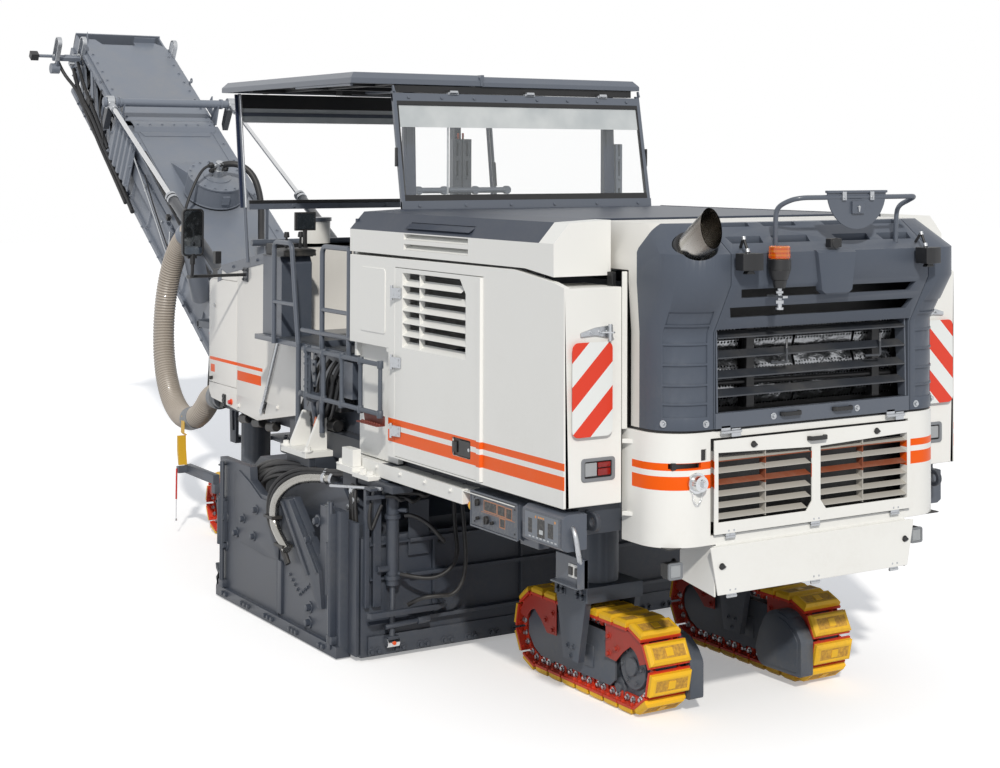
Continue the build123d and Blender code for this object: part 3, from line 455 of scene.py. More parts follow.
def moulded(name, colour, roughness, grain_mm=3.0, depth=0.35):
    """A moulded plastic or rubber with a fine leathery grain and dust in it."""
    made, tree, shader, place = finish_of(name, colour, roughness)
    weathered(tree, shader, place, paint(colour), "#8d877d", 0.30, roughness)
    cells = add(tree, "TexVoronoi", {"feature": "F1"}, Vector=place, Scale=1000 / grain_mm)
    bumped(shader, cells.outputs["Distance"], depth, 0.0006)
    return made


black_nylon = moulded("black_moulded_nylon", "#17181b", 0.46)
seals = bmesh.new()
block(seals, (-372, 40), (-1096, 1096), (1866, 1884))
round_edges(seals, "z", 226, at_the_tail)
block(seals, (-376, -366), (806, 856), (1696, 1774))
block(seals, (-350, -240), (846, 1030), (1656, 1698))
# The sheet across the inside of the tail behind the cooling-air window, and the strip under it, are black as
# painted shade for the dark space behind the blades.
block(seals, (-212, -204), (-1060, 1060), (1196, 1858))
block(seals, (-366, -206), (-1070, 1070), (1196, 1204))
for side in (1, -1):
    block(seals, (60, 118), about(side * 1170, 14), (2700, 2800))
piece("tail_seals_and_painted_shade", seals, black_nylon, "machine", "black_plastic", edge=3)

# Bright fittings of the tail: filler cap and its chain, flap hinges and bolts. The cap is chromed zinc, the
# rest zinc-plated steel, which is duller and slightly mottled.


def rod(bm, start, end, radius, sides=20, taper=1.0):
    """A round bar between two points, all in millimetres."""
    a, b = at(*start), at(*end)
    turn = (b - a).to_track_quat("Z", "Y").to_matrix().to_4x4()
    bmesh.ops.create_cone(
        bm, cap_ends=True, segments=sides, radius1=radius / 1000, radius2=radius * taper / 1000,
        depth=(b - a).length, matrix=Matrix.Translation((a + b) / 2) @ turn,
    )


def ring(bm, centre, toward, radius, thickness, around=20, across=8):
    """A round-section ring facing a direction."""
    turn = Vector(toward).to_track_quat("Z", "Y").to_matrix().to_4x4()
    place = Matrix.Translation(at(*centre)) @ turn
    section = bmesh.ops.create_circle(
        bm, segments=across, radius=thickness / 1000,
        matrix=place @ Matrix.Translation((radius / 1000, 0, 0)) @ Matrix.Rotation(math.pi / 2, 4, "X"),
    )["verts"]
    edges = list({e for v in section for e in v.link_edges})
    bmesh.ops.spin(
        bm, geom=section + edges, cent=place.translation, axis=place.col[2].xyz, angle=math.tau,
        steps=around, use_merge=True,
    )


def bolts(bm, places, toward, size=24):
    """Hexagon heads on washers, size millimetres across the flats, standing off towards a direction."""
    turn = Vector(toward).to_track_quat("Z", "Y").to_matrix().to_4x4()
    across = size / 1000
    for place in places:
        seat = Matrix.Translation(at(*place)) @ turn
        for sides, r, low, high in ((12, 0.95, -0.1, 0.16), (6, 0.58, 0.1, 0.75)):
            bmesh.ops.create_cone(
                bm, cap_ends=True, segments=sides, radius1=r * across,
                radius2=r * across * (0.94 if sides == 6 else 1), depth=(high - low) * across,
                matrix=seat @ Matrix.Translation((0, 0, (low + high) / 2 * across)),
            )


def shaft(bm, along, middle, ends, radius, **also):
    """A round bar along one axis: its two other coordinates, where it starts and ends, then as rod."""
    k = "xyz".index(along)
    start, end = ((*middle[:k], there, *middle[k:]) for there in ends)
    rod(bm, start, end, radius, **also)


def plated(name, colour, roughness, mottle=0.12, scale=60.0):
    """Plated or bare metal, its gloss broken up by handling marks."""
    made, tree, shader, place = finish_of(name, colour, roughness, metallic=1.0)
    marks = add(tree, "TexNoise", Vector=place, Scale=scale, Detail=5.0, Roughness=0.65)
    wire(
        shader, "Roughness",
        stretched(tree, marks.outputs["Fac"], 0.3, 0.7, roughness - mottle, roughness + mottle),
    )
    grime = stretched(tree, marks.outputs["Fac"], 0.55, 0.75, 0.0, 0.5)
    wire(shader, "Base Color", mixed(tree, grime, colour, "#6a655d"))
    return made


zinc_plate = plated("zinc_plated_steel", "#b9bcc0", 0.38)
chrome_plate = plated("hard_chrome_plate", "#d4d6d8", 0.16, mottle=0.07, scale=25.0)

cap = bmesh.new()
shaft(cap, "x", (884, 1577), (-384, -402), 62, sides=32)
shaft(cap, "x", (884, 1577), (-400, -446), 50, sides=32, taper=0.9)
shaft(cap, "x", (884, 1577), (-444, -452), 30, sides=24, taper=0.8)
plate(cap, "y", ((-450, 1556), (-450, 1598), (-470, 1592), (-474, 1577), (-470, 1562)), 878, 890)
for link in range(22):
    turn = math.pi * (link + 0.5) / 22
    across, drop = 36 * math.cos(turn), 92 * math.sin(turn)
    ring(
        cap, (-398, 884 + across, 1540 - drop), (1, 1 if link % 2 else -1, 0), 5.5, 1.7, around=8, across=5,
    )
piece("filler_cap_and_chain", cap, chrome_plate, "machine", "chrome", edge=2)

# Louvred flap: a folded frame round two bays of sloping blades, hinged along its lower edge and held by two
# quarter-turn latches. Pressed sheet, enamelled white; the pull and the latch wings are black nylon.


def span(side, a, b):
    """From and to on the left, or their mirror image on the right, low first."""
    return tuple(sorted((side * a, side * b)))


def hinge(bm, x, y, z, length=64, above=1):
    """A rolled knuckle with its leaf and two bolts."""
    shaft(bm, "y", (x, z), about(y, length / 2), 9, sides=14)
    block(bm, (x - 4, x + 6), about(y, length / 2), tuple(sorted((z, z + above * 30))))
    bolts(bm, [(x - 4, y + k * length * 0.28, z + above * 40) for k in (-1, 1)], (-1, 0, 0), 13)


flap = bmesh.new()
panel(flap, "x", (774, -774), (1264, 1818), -420, -409)
bays = bmesh.new()
for side in (1, -1):
    corners = ((746, 1334), (746, 1744), (34, 1720), (34, 1392), (78, 1334))
    plate(bays, "x", [(side * y, z) for y, z in corners], -460, -380)
flap = combine(flap, bays)
blades = bmesh.new()
for side in (1, -1):
    for z in (1690, 1622, 1554, 1486, 1418, 1352):
        inner = 40 if z > 1360 else 70
        plate(
            blades, "y", ((-414, z), (-362, z + 22), (-360, z + 25), (-414, z + 4)), side * inner,
            side * 748,
        )
    block(blades, (-408, -350), span(side, 382, 388), (1340, 1738))
    block(flap, (-409, -352), span(side, 746, 752), (1330, 1748))
piece("louvred_flap_frame", flap, white_enamel, "upper_flap", "white_paint", "louvred_flap", edge=2)
# The blades are white enamel with orange stripes like the frame; their grey and the stripes' brown are
# painted shade for the dark bays they sit in.
blade_painted_shade_enamel = striped_enamel("blade_enamel_in_painted_shade", "#b4b1ab", (("#8a4930", shell_stripes),), amount=0.5)
piece("louvred_flap_blades", blades, blade_painted_shade_enamel, "upper_flap", "white_paint", edge=1)

hardware = bmesh.new()
for y in (650, 0, -650):
    hinge(hardware, -408, y, 1240, 70)
piece("louvred_flap_hinges", hardware, zinc_plate, "upper_flap", "chrome", edge=1.5)


def pull(bm, x, y, z, length=130):
    """A bow handle moulded in one with its two feet, standing off rearwards."""
    half = length / 2
    bow = ((0, half), (-14, half), (-36, half - 16), (-36, 16 - half), (-14, -half), (0, -half))
    inner = (
        (0, 26 - half), (-12, 24 - half), (-22, 32 - half), (-22, half - 32), (-12, half - 24),
        (0, half - 26),
    )
    plate(bm, "z", [(x + a, y + b) for a, b in bow + inner], *about(z, 13))


def wing_latch(bm, x, y, z):
    """A quarter-turn latch: a round seat with a wing across it."""
    shaft(bm, "x", (y, z), (x, x - 7), 20, sides=20)
    plate(
        bm, "x",
        (
            (y - 27, z - 4), (y - 8, z - 13), (y + 8, z - 13), (y + 27, z + 4), (y + 8, z + 13),
            (y - 8, z + 13),
        ), x - 16, x - 6,
    )


grips = bmesh.new()
pull(grips, -420, 0, 1776, 150)
wing_latch(grips, -420, 487, 1776)
wing_latch(grips, -420, -487, 1776)
piece("louvred_flap_grips", grips, black_nylon, "upper_flap", "black_plastic", edge=3)

# Bottom flap: a plain tapering apron, hinged along its lower edge, with a latch at each end. Folded sheet in
# the same white enamel; its face is bare.
apron = bmesh.new()
plate(apron, "x", ((802, 1190), (748, 906), (-748, 906), (-802, 1190)), -420, -408)
plate(apron, "y", ((-408, 1178), (-396, 1178), (-396, 1190), (-408, 1190)), -790, 790)
piece("apron_leaf", apron, white_enamel, "lower_flap", "white_paint", "bottom_flap", edge=3)
hardware = bmesh.new()
for y in (640, 0, -640):
    hinge(hardware, -408, y, 890, 70)
piece("apron_hinges", hardware, zinc_plate, "lower_flap", "chrome", edge=1.5)
grips = bmesh.new()
wing_latch(grips, -420, 722, 1076)
wing_latch(grips, -420, -722, 1076)
piece("apron_latches", grips, black_nylon, "lower_flap", "black_plastic", edge=3)

# Engine doors: a flush leaf with a raised rib at its rear edge and six louvres whose rear top corner is cut
# off. Sheet steel, enamelled white like the walls; the stripes run across; a paddle latch of black nylon.


def other_side(bm, side):
    """Left-hand shapes carried to the side asked for."""
    if side < 0:
        bmesh.ops.scale(bm, verts=bm.verts, vec=(1, -1, 1))
        bmesh.ops.reverse_faces(bm, faces=bm.faces)
    return bm


both_sides = ((1, "left"), (-1, "right"))
for side, hand in both_sides:
    leaf = bmesh.new()
    block(leaf, (970, 2200), (1530, 1560), (1445, 2730))
    bay = bmesh.new()
    plate(bay, "y", ((1196, 2192), (1196, 2612), (1272, 2702), (2088, 2702), (2088, 2192)), 1500, 1600)
    panel(bay, "y", (1126, 1374), (1562, 1682), 1540, 1600, corner=12)
    leaf = combine(leaf, bay)
    for low in (2196, 2281, 2366, 2451, 2536, 2621):
        back = 1196 if low < 2560 else 1232 if low < 2600 else 1262
        plate(leaf, "x", ((1559, low - 6), (1508, low + 34), (1505, low + 31), (1556, low - 9)), back, 2090)
        block(leaf, (1846, 1852), (1512, 1552), (low, low + 84))
    frame_edge = (
        (1190, 2186), (1190, 2616), (1268, 2708), (2094, 2708), (2094, 2186), (2088, 2192), (2088, 2702),
        (1272, 2702), (1196, 2612), (1196, 2192), (2094, 2186),
    )
    plate(leaf, "y", frame_edge, 1500, 1530)
    plate(leaf, "z", ((968, 1556), (976, 1578), (1022, 1578), (1036, 1560)), 1446, 2728)
    piece(
        f"{hand}_door_leaf", other_side(leaf, side), white_enamel, f"{hand}_door", "white_paint",
        f"{hand}_engine_door", edge=3,
    )
    latch = bmesh.new()
    block(latch, (1126, 1374), (1538, 1546), (1562, 1682))
    panel(latch, "y", (1136, 1290), (1572, 1672), 1546, 1557, corner=10)
    plate(latch, "z", ((1310, 1546), (1304, 1562), (1330, 1570), (1362, 1566), (1366, 1546)), 1588, 1656)
    piece(
        f"{hand}_door_latch", other_side(latch, side), black_nylon, f"{hand}_door", "black_plastic", edge=3,
    )
    pins = bmesh.new()
    for z in (1620, 2087, 2560):
        shaft(pins, "z", (2203, 1584), about(z, 50), 11)
        plate(pins, "z", ((2100, 1560), (2100, 1568), (2203, 1596), (2203, 1584)), *about(z, 36))
        bolts(pins, [(2120, 1566, z + 18), (2120, 1566, z - 18)], (0, 1, 0), 15)
    shaft(pins, "y", (1150, 1622), (1552, 1562), 12, sides=16)
    piece(f"{hand}_door_hinges", other_side(pins, side), zinc_plate, f"{hand}_door", "chrome", edge=1.5)

# Inside the engine room, seen through the louvres and when the doors are open: the block, its covers and
# pipes. Cast iron in grey engine enamel, with a cast aluminium intake and insulated pipes.


def dress(node, finish):
    """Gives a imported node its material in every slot."""
    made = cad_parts[node]
    if not made.material_slots:
        made.data.materials.append(None)
    for slot in made.material_slots:
        slot.material = finish
    return made


def cast(name, colour, roughness=0.6, metallic=0.0, lump_mm=6.0):
    """A cast and painted surface: sand-rough, oily and dusty where it faces up and low down."""
    made, tree, shader, place = finish_of(name, colour, roughness, metallic)
    weathered(tree, shader, place, paint(colour), "#7c7468", 0.55, roughness)
    sand = add(tree, "TexNoise", Vector=place, Scale=1000 / lump_mm, Detail=4.0)
    bumped(shader, sand.outputs["Fac"], 0.35, 0.0012)
    return made


engine_iron = cast("engine_enamel_on_cast_iron", "#5d6167")
dress("engine", engine_iron)
core = cast("aluminium_cooler_fins", "#3b3d40", 0.5, 0.6, 9.0)
dress("radiator", core)

# Engine hood: one large moulding over the coolers, hinged at its front top edge. Glass-fibre plastic sprayed
# slate grey, with stepped panels at the corners, two slots in the slope, a brow and rows of slots on top.


def sliced(bm, through, normal, **also):
    """Cuts a shape's faces along a plane."""
    everything = bm.verts[:] + bm.edges[:] + bm.faces[:]
    bmesh.ops.bisect_plane(bm, geom=everything, plane_co=through, plane_no=normal, **also)


def shape_of(node):
    """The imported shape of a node, its loose triangles merged into one surface."""
    bm = bmesh.new()
    bm.from_mesh(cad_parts[node].data)
    bmesh.ops.remove_doubles(bm, verts=bm.verts, dist=0.00003)
    bmesh.ops.dissolve_limit(bm, angle_limit=0.01, verts=bm.verts, edges=bm.edges)
    return bm


def sprayed(name, colour, dust="#9b958a", amount=0.4, roughness=0.36, coat=0.2):
    """Two-pack paint with site dust on it."""
    made, tree, shader, place = finish_of(name, colour, roughness)
    weathered(tree, shader, place, paint(colour), dust, amount, roughness, coat)
    return made


slate_paint = sprayed("slate_grey_paint_on_moulding", "#525965", amount=0.3)


def white_sides(tree, axes):
    """Slate grey everywhere but on the hood's cheeks beside the towers, which are white."""
    lean = stretched(tree, axes.outputs["Z"], 2.95, 3.10, 0.107, 0.20)
    edge = worked_out(tree, "SUBTRACT", tower_back, lean)
    return worked_out(tree, "LESS_THAN", axes.outputs["X"], edge)


two_tone = striped_enamel("two_tone_paint_on_moulding", "#e4e2dd", (("#525965", white_sides),))
panels = bmesh.new()
for low, high in ((1962, 2034), (2046, 2144), (2156, 2264), (2276, 2384), (2396, 2494), (2506, 2586)):
    for side in (1, -1):
        block(panels, (-600, -290), span(side, 822, 1300), (low, high))
inner = bmesh.new()
block(inner, (-401, 60), (-1091, 1091), (1900, 2640))
round_edges(inner, "z", 241, at_the_tail, steps=12)
panels = combine(panels, inner)
sliced(panels, (0, 0, 2.45), (0, 0, 1))
for vert in panels.verts:
    rise = max(vert.co.z - 2.45, 0)
    vert.co.x -= rise * 0.5864
    vert.co.y *= 1 + rise * 0.0616
slots = bmesh.new()
plate(slots, "x", ((724, 2604), (692, 2540), (-692, 2540), (-724, 2604)), -570, -410)
plate(slots, "x", ((688, 2714), (664, 2660), (-664, 2660), (-688, 2714)), -640, -470)
for side in (1, -1):
    for back, front in ((-362, -300), (-500, -442)):
        for a, b in ((100, 380), (460, 720)):
            plate(
                slots, "z",
                ((back, side * (a + 14)), (back, side * (b - 14)), (front, side * b), (front, side * a)),
                2940, 3200,
            )
    seam = ((-430, 1860), (-430, 2448), (-603, 2743), (-603, 2929), (-340, 3110))
    groove = ((-324, 3088), (-575, 2918), (-575, 2750), (-402, 2456), (-402, 1860))
    plate(slots, "y", seam + groove, side * 774, side * 780)
rod(slots, (-330, 950, 2879), (-700, 950, 3132), 122, sides=40)
hood = combine(shape_of("engine_hood"), panels)
hood = combine(hood, slots)
badge = bmesh.new()
plate(
    badge, "x", ((150, 2932), (118, 2690), (84, 2664), (-84, 2664), (-118, 2690), (-150, 2932)), -618, -560,
)
lean = bmesh.new()
plate(lean, "y", ((-640, 2600), (-640, 2700), (-590, 2640)), -200, 200)
plate(lean, "y", ((-640, 2960), (-640, 2900), (-560, 2960)), -200, 200)
hood = combine(hood, combine(badge, lean), "UNION")
piece("hood_moulding", hood, two_tone, "hood", "grey_paint", "engine_hood", edge=5)

# The hood's grille: a folded lower rail and side cheeks carrying four thin raked blades, with perforated
# sheet behind them. Folded steel in slate grey, the blades and hooks darker.
rail = bmesh.new()
block(rail, (-416, -380), (-764, 764), (1884, 1976))
for side in (1, -1):
    plate(rail, "y", ((-408, 1976), (-398, 2470), (-300, 2470), (-340, 1976)), side * 740, side * 752)
piece("grille_rail", rail, slate_paint, "hood", "grey_paint", "hood_grille", edge=3)
dark_paint = sprayed("anthracite_paint_on_sheet", "#33373e", amount=0.45, roughness=0.42)
fins = bmesh.new()
for z in (2066, 2176, 2294, 2412):
    plate(fins, "y", ((-406, z), (-406, z + 9), (-330, z + 42), (-330, z + 36)), -742, 742)
for y in (230, -520):
    rod(fins, (-400, y + 110, 2250), (-416, y, 2250), 8)
    shaft(fins, "z", (-416, y), (2250, 2330), 8)
    rod(fins, (-416, y, 2330), (-400, y - 14, 2384), 8)
piece("grille_blades_and_hooks", fins, dark_paint, "hood", "grey_paint", edge=1.5)

perforated, tree, shader, place = finish_of("perforated_stainless_sheet", "#8f9296", 0.3, 1.0)
axes = add(tree, "SeparateXYZ", Vector=place)
# Holes of 8 mm at 12 mm, drawn twice that so that they show.
holes = add(tree, "VectorMath", {"operation": "SCALE"}, n0=place, Scale=1000 / 24)
cells = add(
    tree, "TexVoronoi", {"feature": "F1", "voronoi_dimensions": "3D"}, Vector=holes.outputs[0], Scale=1.0,
    Randomness=0.12,
)
# The holes are painted near-black: painted shade for the dark space seen through them.
hole = stretched(tree, cells.outputs["Distance"], 0.30, 0.36, 1.0, 0.0)
wire(shader, "Base Color", mixed(tree, hole, "#a4a6a9", "#050506"))
dents = add(tree, "TexNoise", Vector=place, Scale=5.0, Detail=4.0)
bumped(shader, dents.outputs["Fac"], 0.9, 0.06)
sheet = bmesh.new()
for low, high in ((1990, 2120), (2135, 2290), (2305, 2470)):
    for a, b in ((-730, -420), (-400, 60), (80, 470), (500, 730)):
        plate(
            sheet, "y", ((-262, low), (-290, (low + high) / 2), (-262, high), (-256, high), (-256, low)), a,
            b,
        )
piece("perforated_screens", sheet, perforated, "hood", "chrome", edge=0)
behind = bmesh.new()
block(behind, (-235, -225), (-1050, 1050), (1900, 2740))
for y in (-560, 440):
    block(behind, (-330, -232), about(y, 30), (1980, 2480))
for z in (2120, 2300):
    rod(behind, (-300, -700, z), (-300, 700, z + 20), 16)
piece("cooler_shroud", behind, black_nylon, "hood", "black_plastic", edge=4)

fittings = bmesh.new()
pull(fittings, -416, 205, 1940, 160)
pull(fittings, -416, -205, 1940, 160)
for side in (1, -1):
    face = (
        (-716, side * 640), (-726, side * 700), (-700, side * 776), (-620, side * 776), (-610, side * 640),
    )
    plate(fittings, "z", face, 2832, 2932)
    for k in range(4):
        block(fittings, (-640, -606), span(side, 654 + 30 * k, 664 + 30 * k), (2836, 2928))
    rod(fittings, (-640, side * 700, 2940), (-600, side * 700, 3020), 9)
    rod(fittings, (-600, side * 700, 3020), (-556, side * 690, 2958), 9)
    plate(
        fittings, "x", ((side * 670, 2810), (side * 740, 2810), (side * 720, 2840), (side * 690, 2840)),
        -680, -640,
    )
beacon_x, beacon_y = -660, 480
shaft(fittings, "z", (beacon_x, beacon_y), (2720, 2770), 34, sides=24, taper=1.3)
shaft(fittings, "z", (beacon_x, beacon_y), (2768, 2830), 48, sides=32, taper=1.42)
shaft(fittings, "z", (beacon_x, beacon_y), (2828, 2893), 69, sides=32)
block(fittings, (-612, -560), (-42, 46), (2946, 3000))
shaft(fittings, "x", (4, 2972), (-616, -600), 32)
piece("hood_lamps_and_handles", fittings, black_nylon, "hood", "black_plastic", edge=6)

bright = bmesh.new()
for y in (650, -650):
    shaft(bright, "y", (-418, 1862), about(y, 75), 9)
    for half in (-1, 1):
        low_y = y + half * 38
        block(bright, (-416, -408), about(low_y, 34), (1850, 1900) if half > 0 else (1830, 1880))
bolts(bright, [(-416, y, 1930) for y in (330, -330)], (-1, 0, 0), 22)
for side in (1, -1):
    bolts(bright, [(-408, side * 830, 1920)], (-1, 0, 0), 24)
    bolts(bright, [(-300, side * 1061, 1926)], (-0.45, side, 0), 24)
    rod(bright, (-640, side * 700, 2934), (-634, side * 700, 2956), 15)
    rod(bright, (-604, side * 700, 3006), (-598, side * 700, 3026), 13)
panel(bright, "y", (-716, -560), (2664, 2678), 462, 498)
shaft(bright, "z", (beacon_x, beacon_y), (2600, 2722), 14)
shaft(bright, "z", (beacon_x, beacon_y), (2630, 2650), 26, sides=6)
shaft(bright, "z", (beacon_x, beacon_y), (2690, 2704), 24, sides=6)
shaft(bright, "z", (beacon_x, beacon_y), (2594, 2608), 24, sides=20)
piece("hood_hinges_and_bolts", bright, zinc_plate, "hood", "chrome", edge=1.5)

# Exhaust outlet: a bright tube out of a dark socket in the hood's left shoulder, its mouth cut at a slant
# and darkened inside. Ground stainless steel, heat-tinted and sooted at the mouth.
stainless, tree, shader, place = finish_of("ground_stainless_with_soot", "#b9b6b1", 0.22, 1.0)
mouth = add(
    tree, "VectorMath", {"operation": "DISTANCE"}, n0=place, n1=at(-640, 950, 3090),
).outputs["Value"]
soot = stretched(tree, mouth, 0.10, 0.22, 0.75, 0.0)
wire(shader, "Base Color", mixed(tree, soot, "#b9b6b1", "#4b4036"))
grind = add(tree, "TexNoise", Vector=place, Scale=140.0, Detail=2.0)
wire(shader, "Roughness", stretched(tree, grind.outputs["Fac"], 0.3, 0.7, 0.14, 0.32))
pipe = bmesh.new()
rod(pipe, (-370, 950, 2907), (-690, 950, 3126), 100, sides=48)
bore = bmesh.new()
rod(bore, (-382, 950, 2915), (-740, 950, 3160), 94, sides=48)
pipe = combine(pipe, bore)
sliced(pipe, at(-622, 950, 3080), Vector((-0.95, -0.30, 0.05)).normalized(), clear_outer=True)
piece("exhaust_outlet", pipe, stainless, "hood", "chrome", edge=0)
socket = bmesh.new()
rod(socket, (-350, 950, 2893), (-440, 950, 2955), 118, sides=40)
bore = bmesh.new()
rod(bore, (-300, 950, 2859), (-500, 950, 2996), 96, sides=40)
piece("exhaust_socket", combine(socket, bore), black_nylon, "hood", "black_plastic", edge=5)

# Grab rail over the hood with a half-round shield clamped to it: bent tube and folded plate in slate grey,
# with two clamps and a lock box.


def tube(name, points, radius, finish, body, slot, *stands_for, bend=True):
    """A bent tube on a smooth line through a few points in millimetres."""
    line = bpy.data.curves.new(name, "CURVE")
    line.dimensions = "3D"
    line.bevel_depth = radius / 1000
    line.bevel_resolution = 5
    line.use_fill_caps = True
    run = line.splines.new("NURBS" if bend else "POLY")
    run.points.add(len(points) - 1)
    for point, place in zip(run.points, points):
        point.co = (*at(*place), 1)
    if bend:
        run.order_u = 3
        run.use_endpoint_u = True
        run.resolution_u = 6
    made = bpy.data.objects.new(name, line)
    scene.collection.objects.link(made)
    line.materials.append(finish)
    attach(made, body)
    if stands_for:
        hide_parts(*stands_for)
    return made


tube(
    "hood_rail",
    (
        (-520, 400, 2960), (-520, 400, 3110), (-526, 396, 3190), (-600, 352, 3236), (-650, 296, 3250),
        (-650, 200, 3250), (-650, -520, 3250), (-652, -606, 3252), (-590, -606, 3226), (-524, -574, 3190),
        (-520, -560, 3110), (-520, -560, 2960),
    ), 15, slate_paint, "hood", "grey_paint",
)
shield = bmesh.new()
bmesh.ops.create_circle(
    shield, cap_ends=True, segments=64, radius=0.234,
    matrix=Matrix.Translation(at(-650, -120, 3289)) @ Matrix.Rotation(math.pi / 2, 4, "Y"),
)
sliced(shield, (0, 0, 3.289), (0, 0, 1), clear_outer=True)
bmesh.ops.solidify(shield, geom=shield.faces[:], thickness=0.010)
block(shield, (-672, -640), (-356, 116), (3276, 3291))
block(shield, (-676, -654), (-168, -72), (3150, 3226))
piece("hood_shield", shield, slate_paint, "hood", "grey_paint", edge=3)
clamps = bmesh.new()
for y in (-10, -230):
    block(clamps, (-676, -640), about(y, 16), (3232, 3284))
    bolts(clamps, [(-676, y, 3246)], (-1, 0, 0), 14)
shaft(clamps, "x", (-120, 3190), (-676, -686), 9)
plate(clamps, "x", ((-124, 3160), (-116, 3160), (-112, 3186), (-128, 3186)), -684, -678)
piece("hood_shield_clamps", clamps, zinc_plate, "hood", "chrome", edge=2)

# Rotating beacon: an amber polycarbonate dome, ribbed inside, on a black base.
amber, tree, shader, place = finish_of("amber_polycarbonate", "#f06a00", 0.12)
shader.inputs["Transmission Weight"].default_value = 0.55
shader.inputs["IOR"].default_value = 1.58
shader.inputs["Coat Weight"].default_value = 0.5
height = add(tree, "SeparateXYZ", Vector=place).outputs["Z"]
ribs = worked_out(tree, "PINGPONG", height, 0.012)
bumped(shader, ribs, 0.6, 0.004)
# Each rib is painted from dark to light amber across its width: a painted highlight on the ribs.
rib_highlight = stretched(tree, ribs, 0.0, 0.012)
wire(shader, "Base Color", mixed(tree, rib_highlight, "#e65400", "#ff9a2a"))
dome = bmesh.new()
shaft(dome, "z", (beacon_x, beacon_y), (2893, 2970), 66, sides=32, taper=0.96)
piece("beacon_lens", dome, amber, "hood", "board", "hood_fittings", edge=9, steps=4)

# Rear markings and lamps of the towers: retroreflective boards with rounded corners on the back faces, zinc
# brackets above them, and a lamp cluster set into each tower under a grey bezel.
stripes, tree, shader, place = finish_of("retroreflective_sheet", "#e9ebe8", 0.28)
axes = add(tree, "SeparateXYZ", Vector=place)
wide = size_of(tree, axes.outputs["Y"])
along = worked_out(tree, "ADD", wide, axes.outputs["Z"])
shifted = worked_out(tree, "SUBTRACT", along, 2.954)
turns = worked_out(tree, "DIVIDE", shifted, 0.282)
part = add(tree, "Math", {"operation": "FRACT"}, n0=turns).outputs[0]
red = worked_out(tree, "LESS_THAN", part, 0.5)
wire(shader, "Base Color", mixed(tree, red, "#e6e9e8", "#dd3512"))
# The beads lie in cells of about 4 mm, drawn at 9 mm so that they show.
cells = add(tree, "TexVoronoi", {"feature": "DISTANCE_TO_EDGE"}, Vector=place, Scale=110.0)
bumped(shader, cells.outputs["Distance"], 0.12, 0.0006)
boards = bmesh.new()
panel(boards, "x", (1238, 1520), (1842, 2398), -30, -25, corner=42, steps=5)
piece("hazard_board_pair", mirrored(boards), stripes, "machine", "board", "hazard_boards", edge=1)
brackets = bmesh.new()
plate(
    brackets, "x", ((1226, 2412), (1226, 2492), (1350, 2480), (1450, 2452), (1450, 2430), (1350, 2436)),
    -14, -2,
)
plate(brackets, "z", ((-2, 1240), (-60, 1240), (-64, 1252), (-2, 1330)), 2446, 2456)
shaft(brackets, "z", (-40, 1262), (2400, 2500), 12)
for z in (1900, 2340):
    shaft(brackets, "x", (1380, z), (-26, -2), 10)
bolts(brackets, [(-14, y, 2452) for y in (1262, 1318, 1380)], (-1, 0, 0), 15)
piece("tower_brackets", mirrored(brackets), zinc_plate, "machine", "chrome", edge=1.5)
bezel = bmesh.new()
panel(bezel, "x", (1204, 1440), (1574, 1712), -8, 6, corner=20)
eyes = bmesh.new()
panel(eyes, "x", (1226, 1418), (1594, 1692), -30, 30, corner=10)
bezel = combine(bezel, eyes)
grey_plastic = moulded("grey_moulded_abs", "#7b7f84", 0.5)
piece("lamp_bezels", mirrored(bezel), grey_plastic, "machine", "grey_plastic", edge=3)


def lens(name, colour, ribs_mm=8.0, through=0.35):
    """A lamp lens of clear or coloured acrylic with vertical flutes."""
    made, tree, shader, place = finish_of(name, colour, 0.08)
    shader.inputs["Transmission Weight"].default_value = through
    shader.inputs["IOR"].default_value = 1.49
    side = add(tree, "SeparateXYZ", Vector=place).outputs["Y"]
    flute = worked_out(tree, "PINGPONG", side, ribs_mm / 2000)
    # Each flute is painted darker towards one side: painted shade across the flutes.
    shade = stretched(tree, flute, 0.0, ribs_mm / 2000, 0.0, 0.35)
    wire(shader, "Base Color", mixed(tree, shade, colour, "#16100f"))
    bumped(shader, flute, 0.5, 0.003)
    return made


red_lens = lens("red_acrylic_lens", "#b3160d")
clear_lens = lens("clear_acrylic_lens", "#cfd4d8")
lamps = bmesh.new()
block(lamps, (8, 30), (1210, 1434), (1580, 1706))
for y in (1262, 1322, 1382):
    shaft(lamps, "x", (y, 1690), (-2, 10), 5)
piece("lamp_backs", mirrored(lamps), black_nylon, "machine", "black_plastic", edge=3)
for name, finish, a, b, low, high in (
    ("tail", red_lens, 1232, 1322, 1604, 1646), ("reversing", clear_lens, 1330, 1412, 1604, 1684),
):
    lamps = bmesh.new()
    block(lamps, (-4, 10), (a, b), (low, high))
    if name == "tail":
        block(lamps, (-4, 10), (a, b), (1652, 1684))
    piece(f"{name}_lenses", mirrored(lamps), finish, "machine", "pane", edge=5)

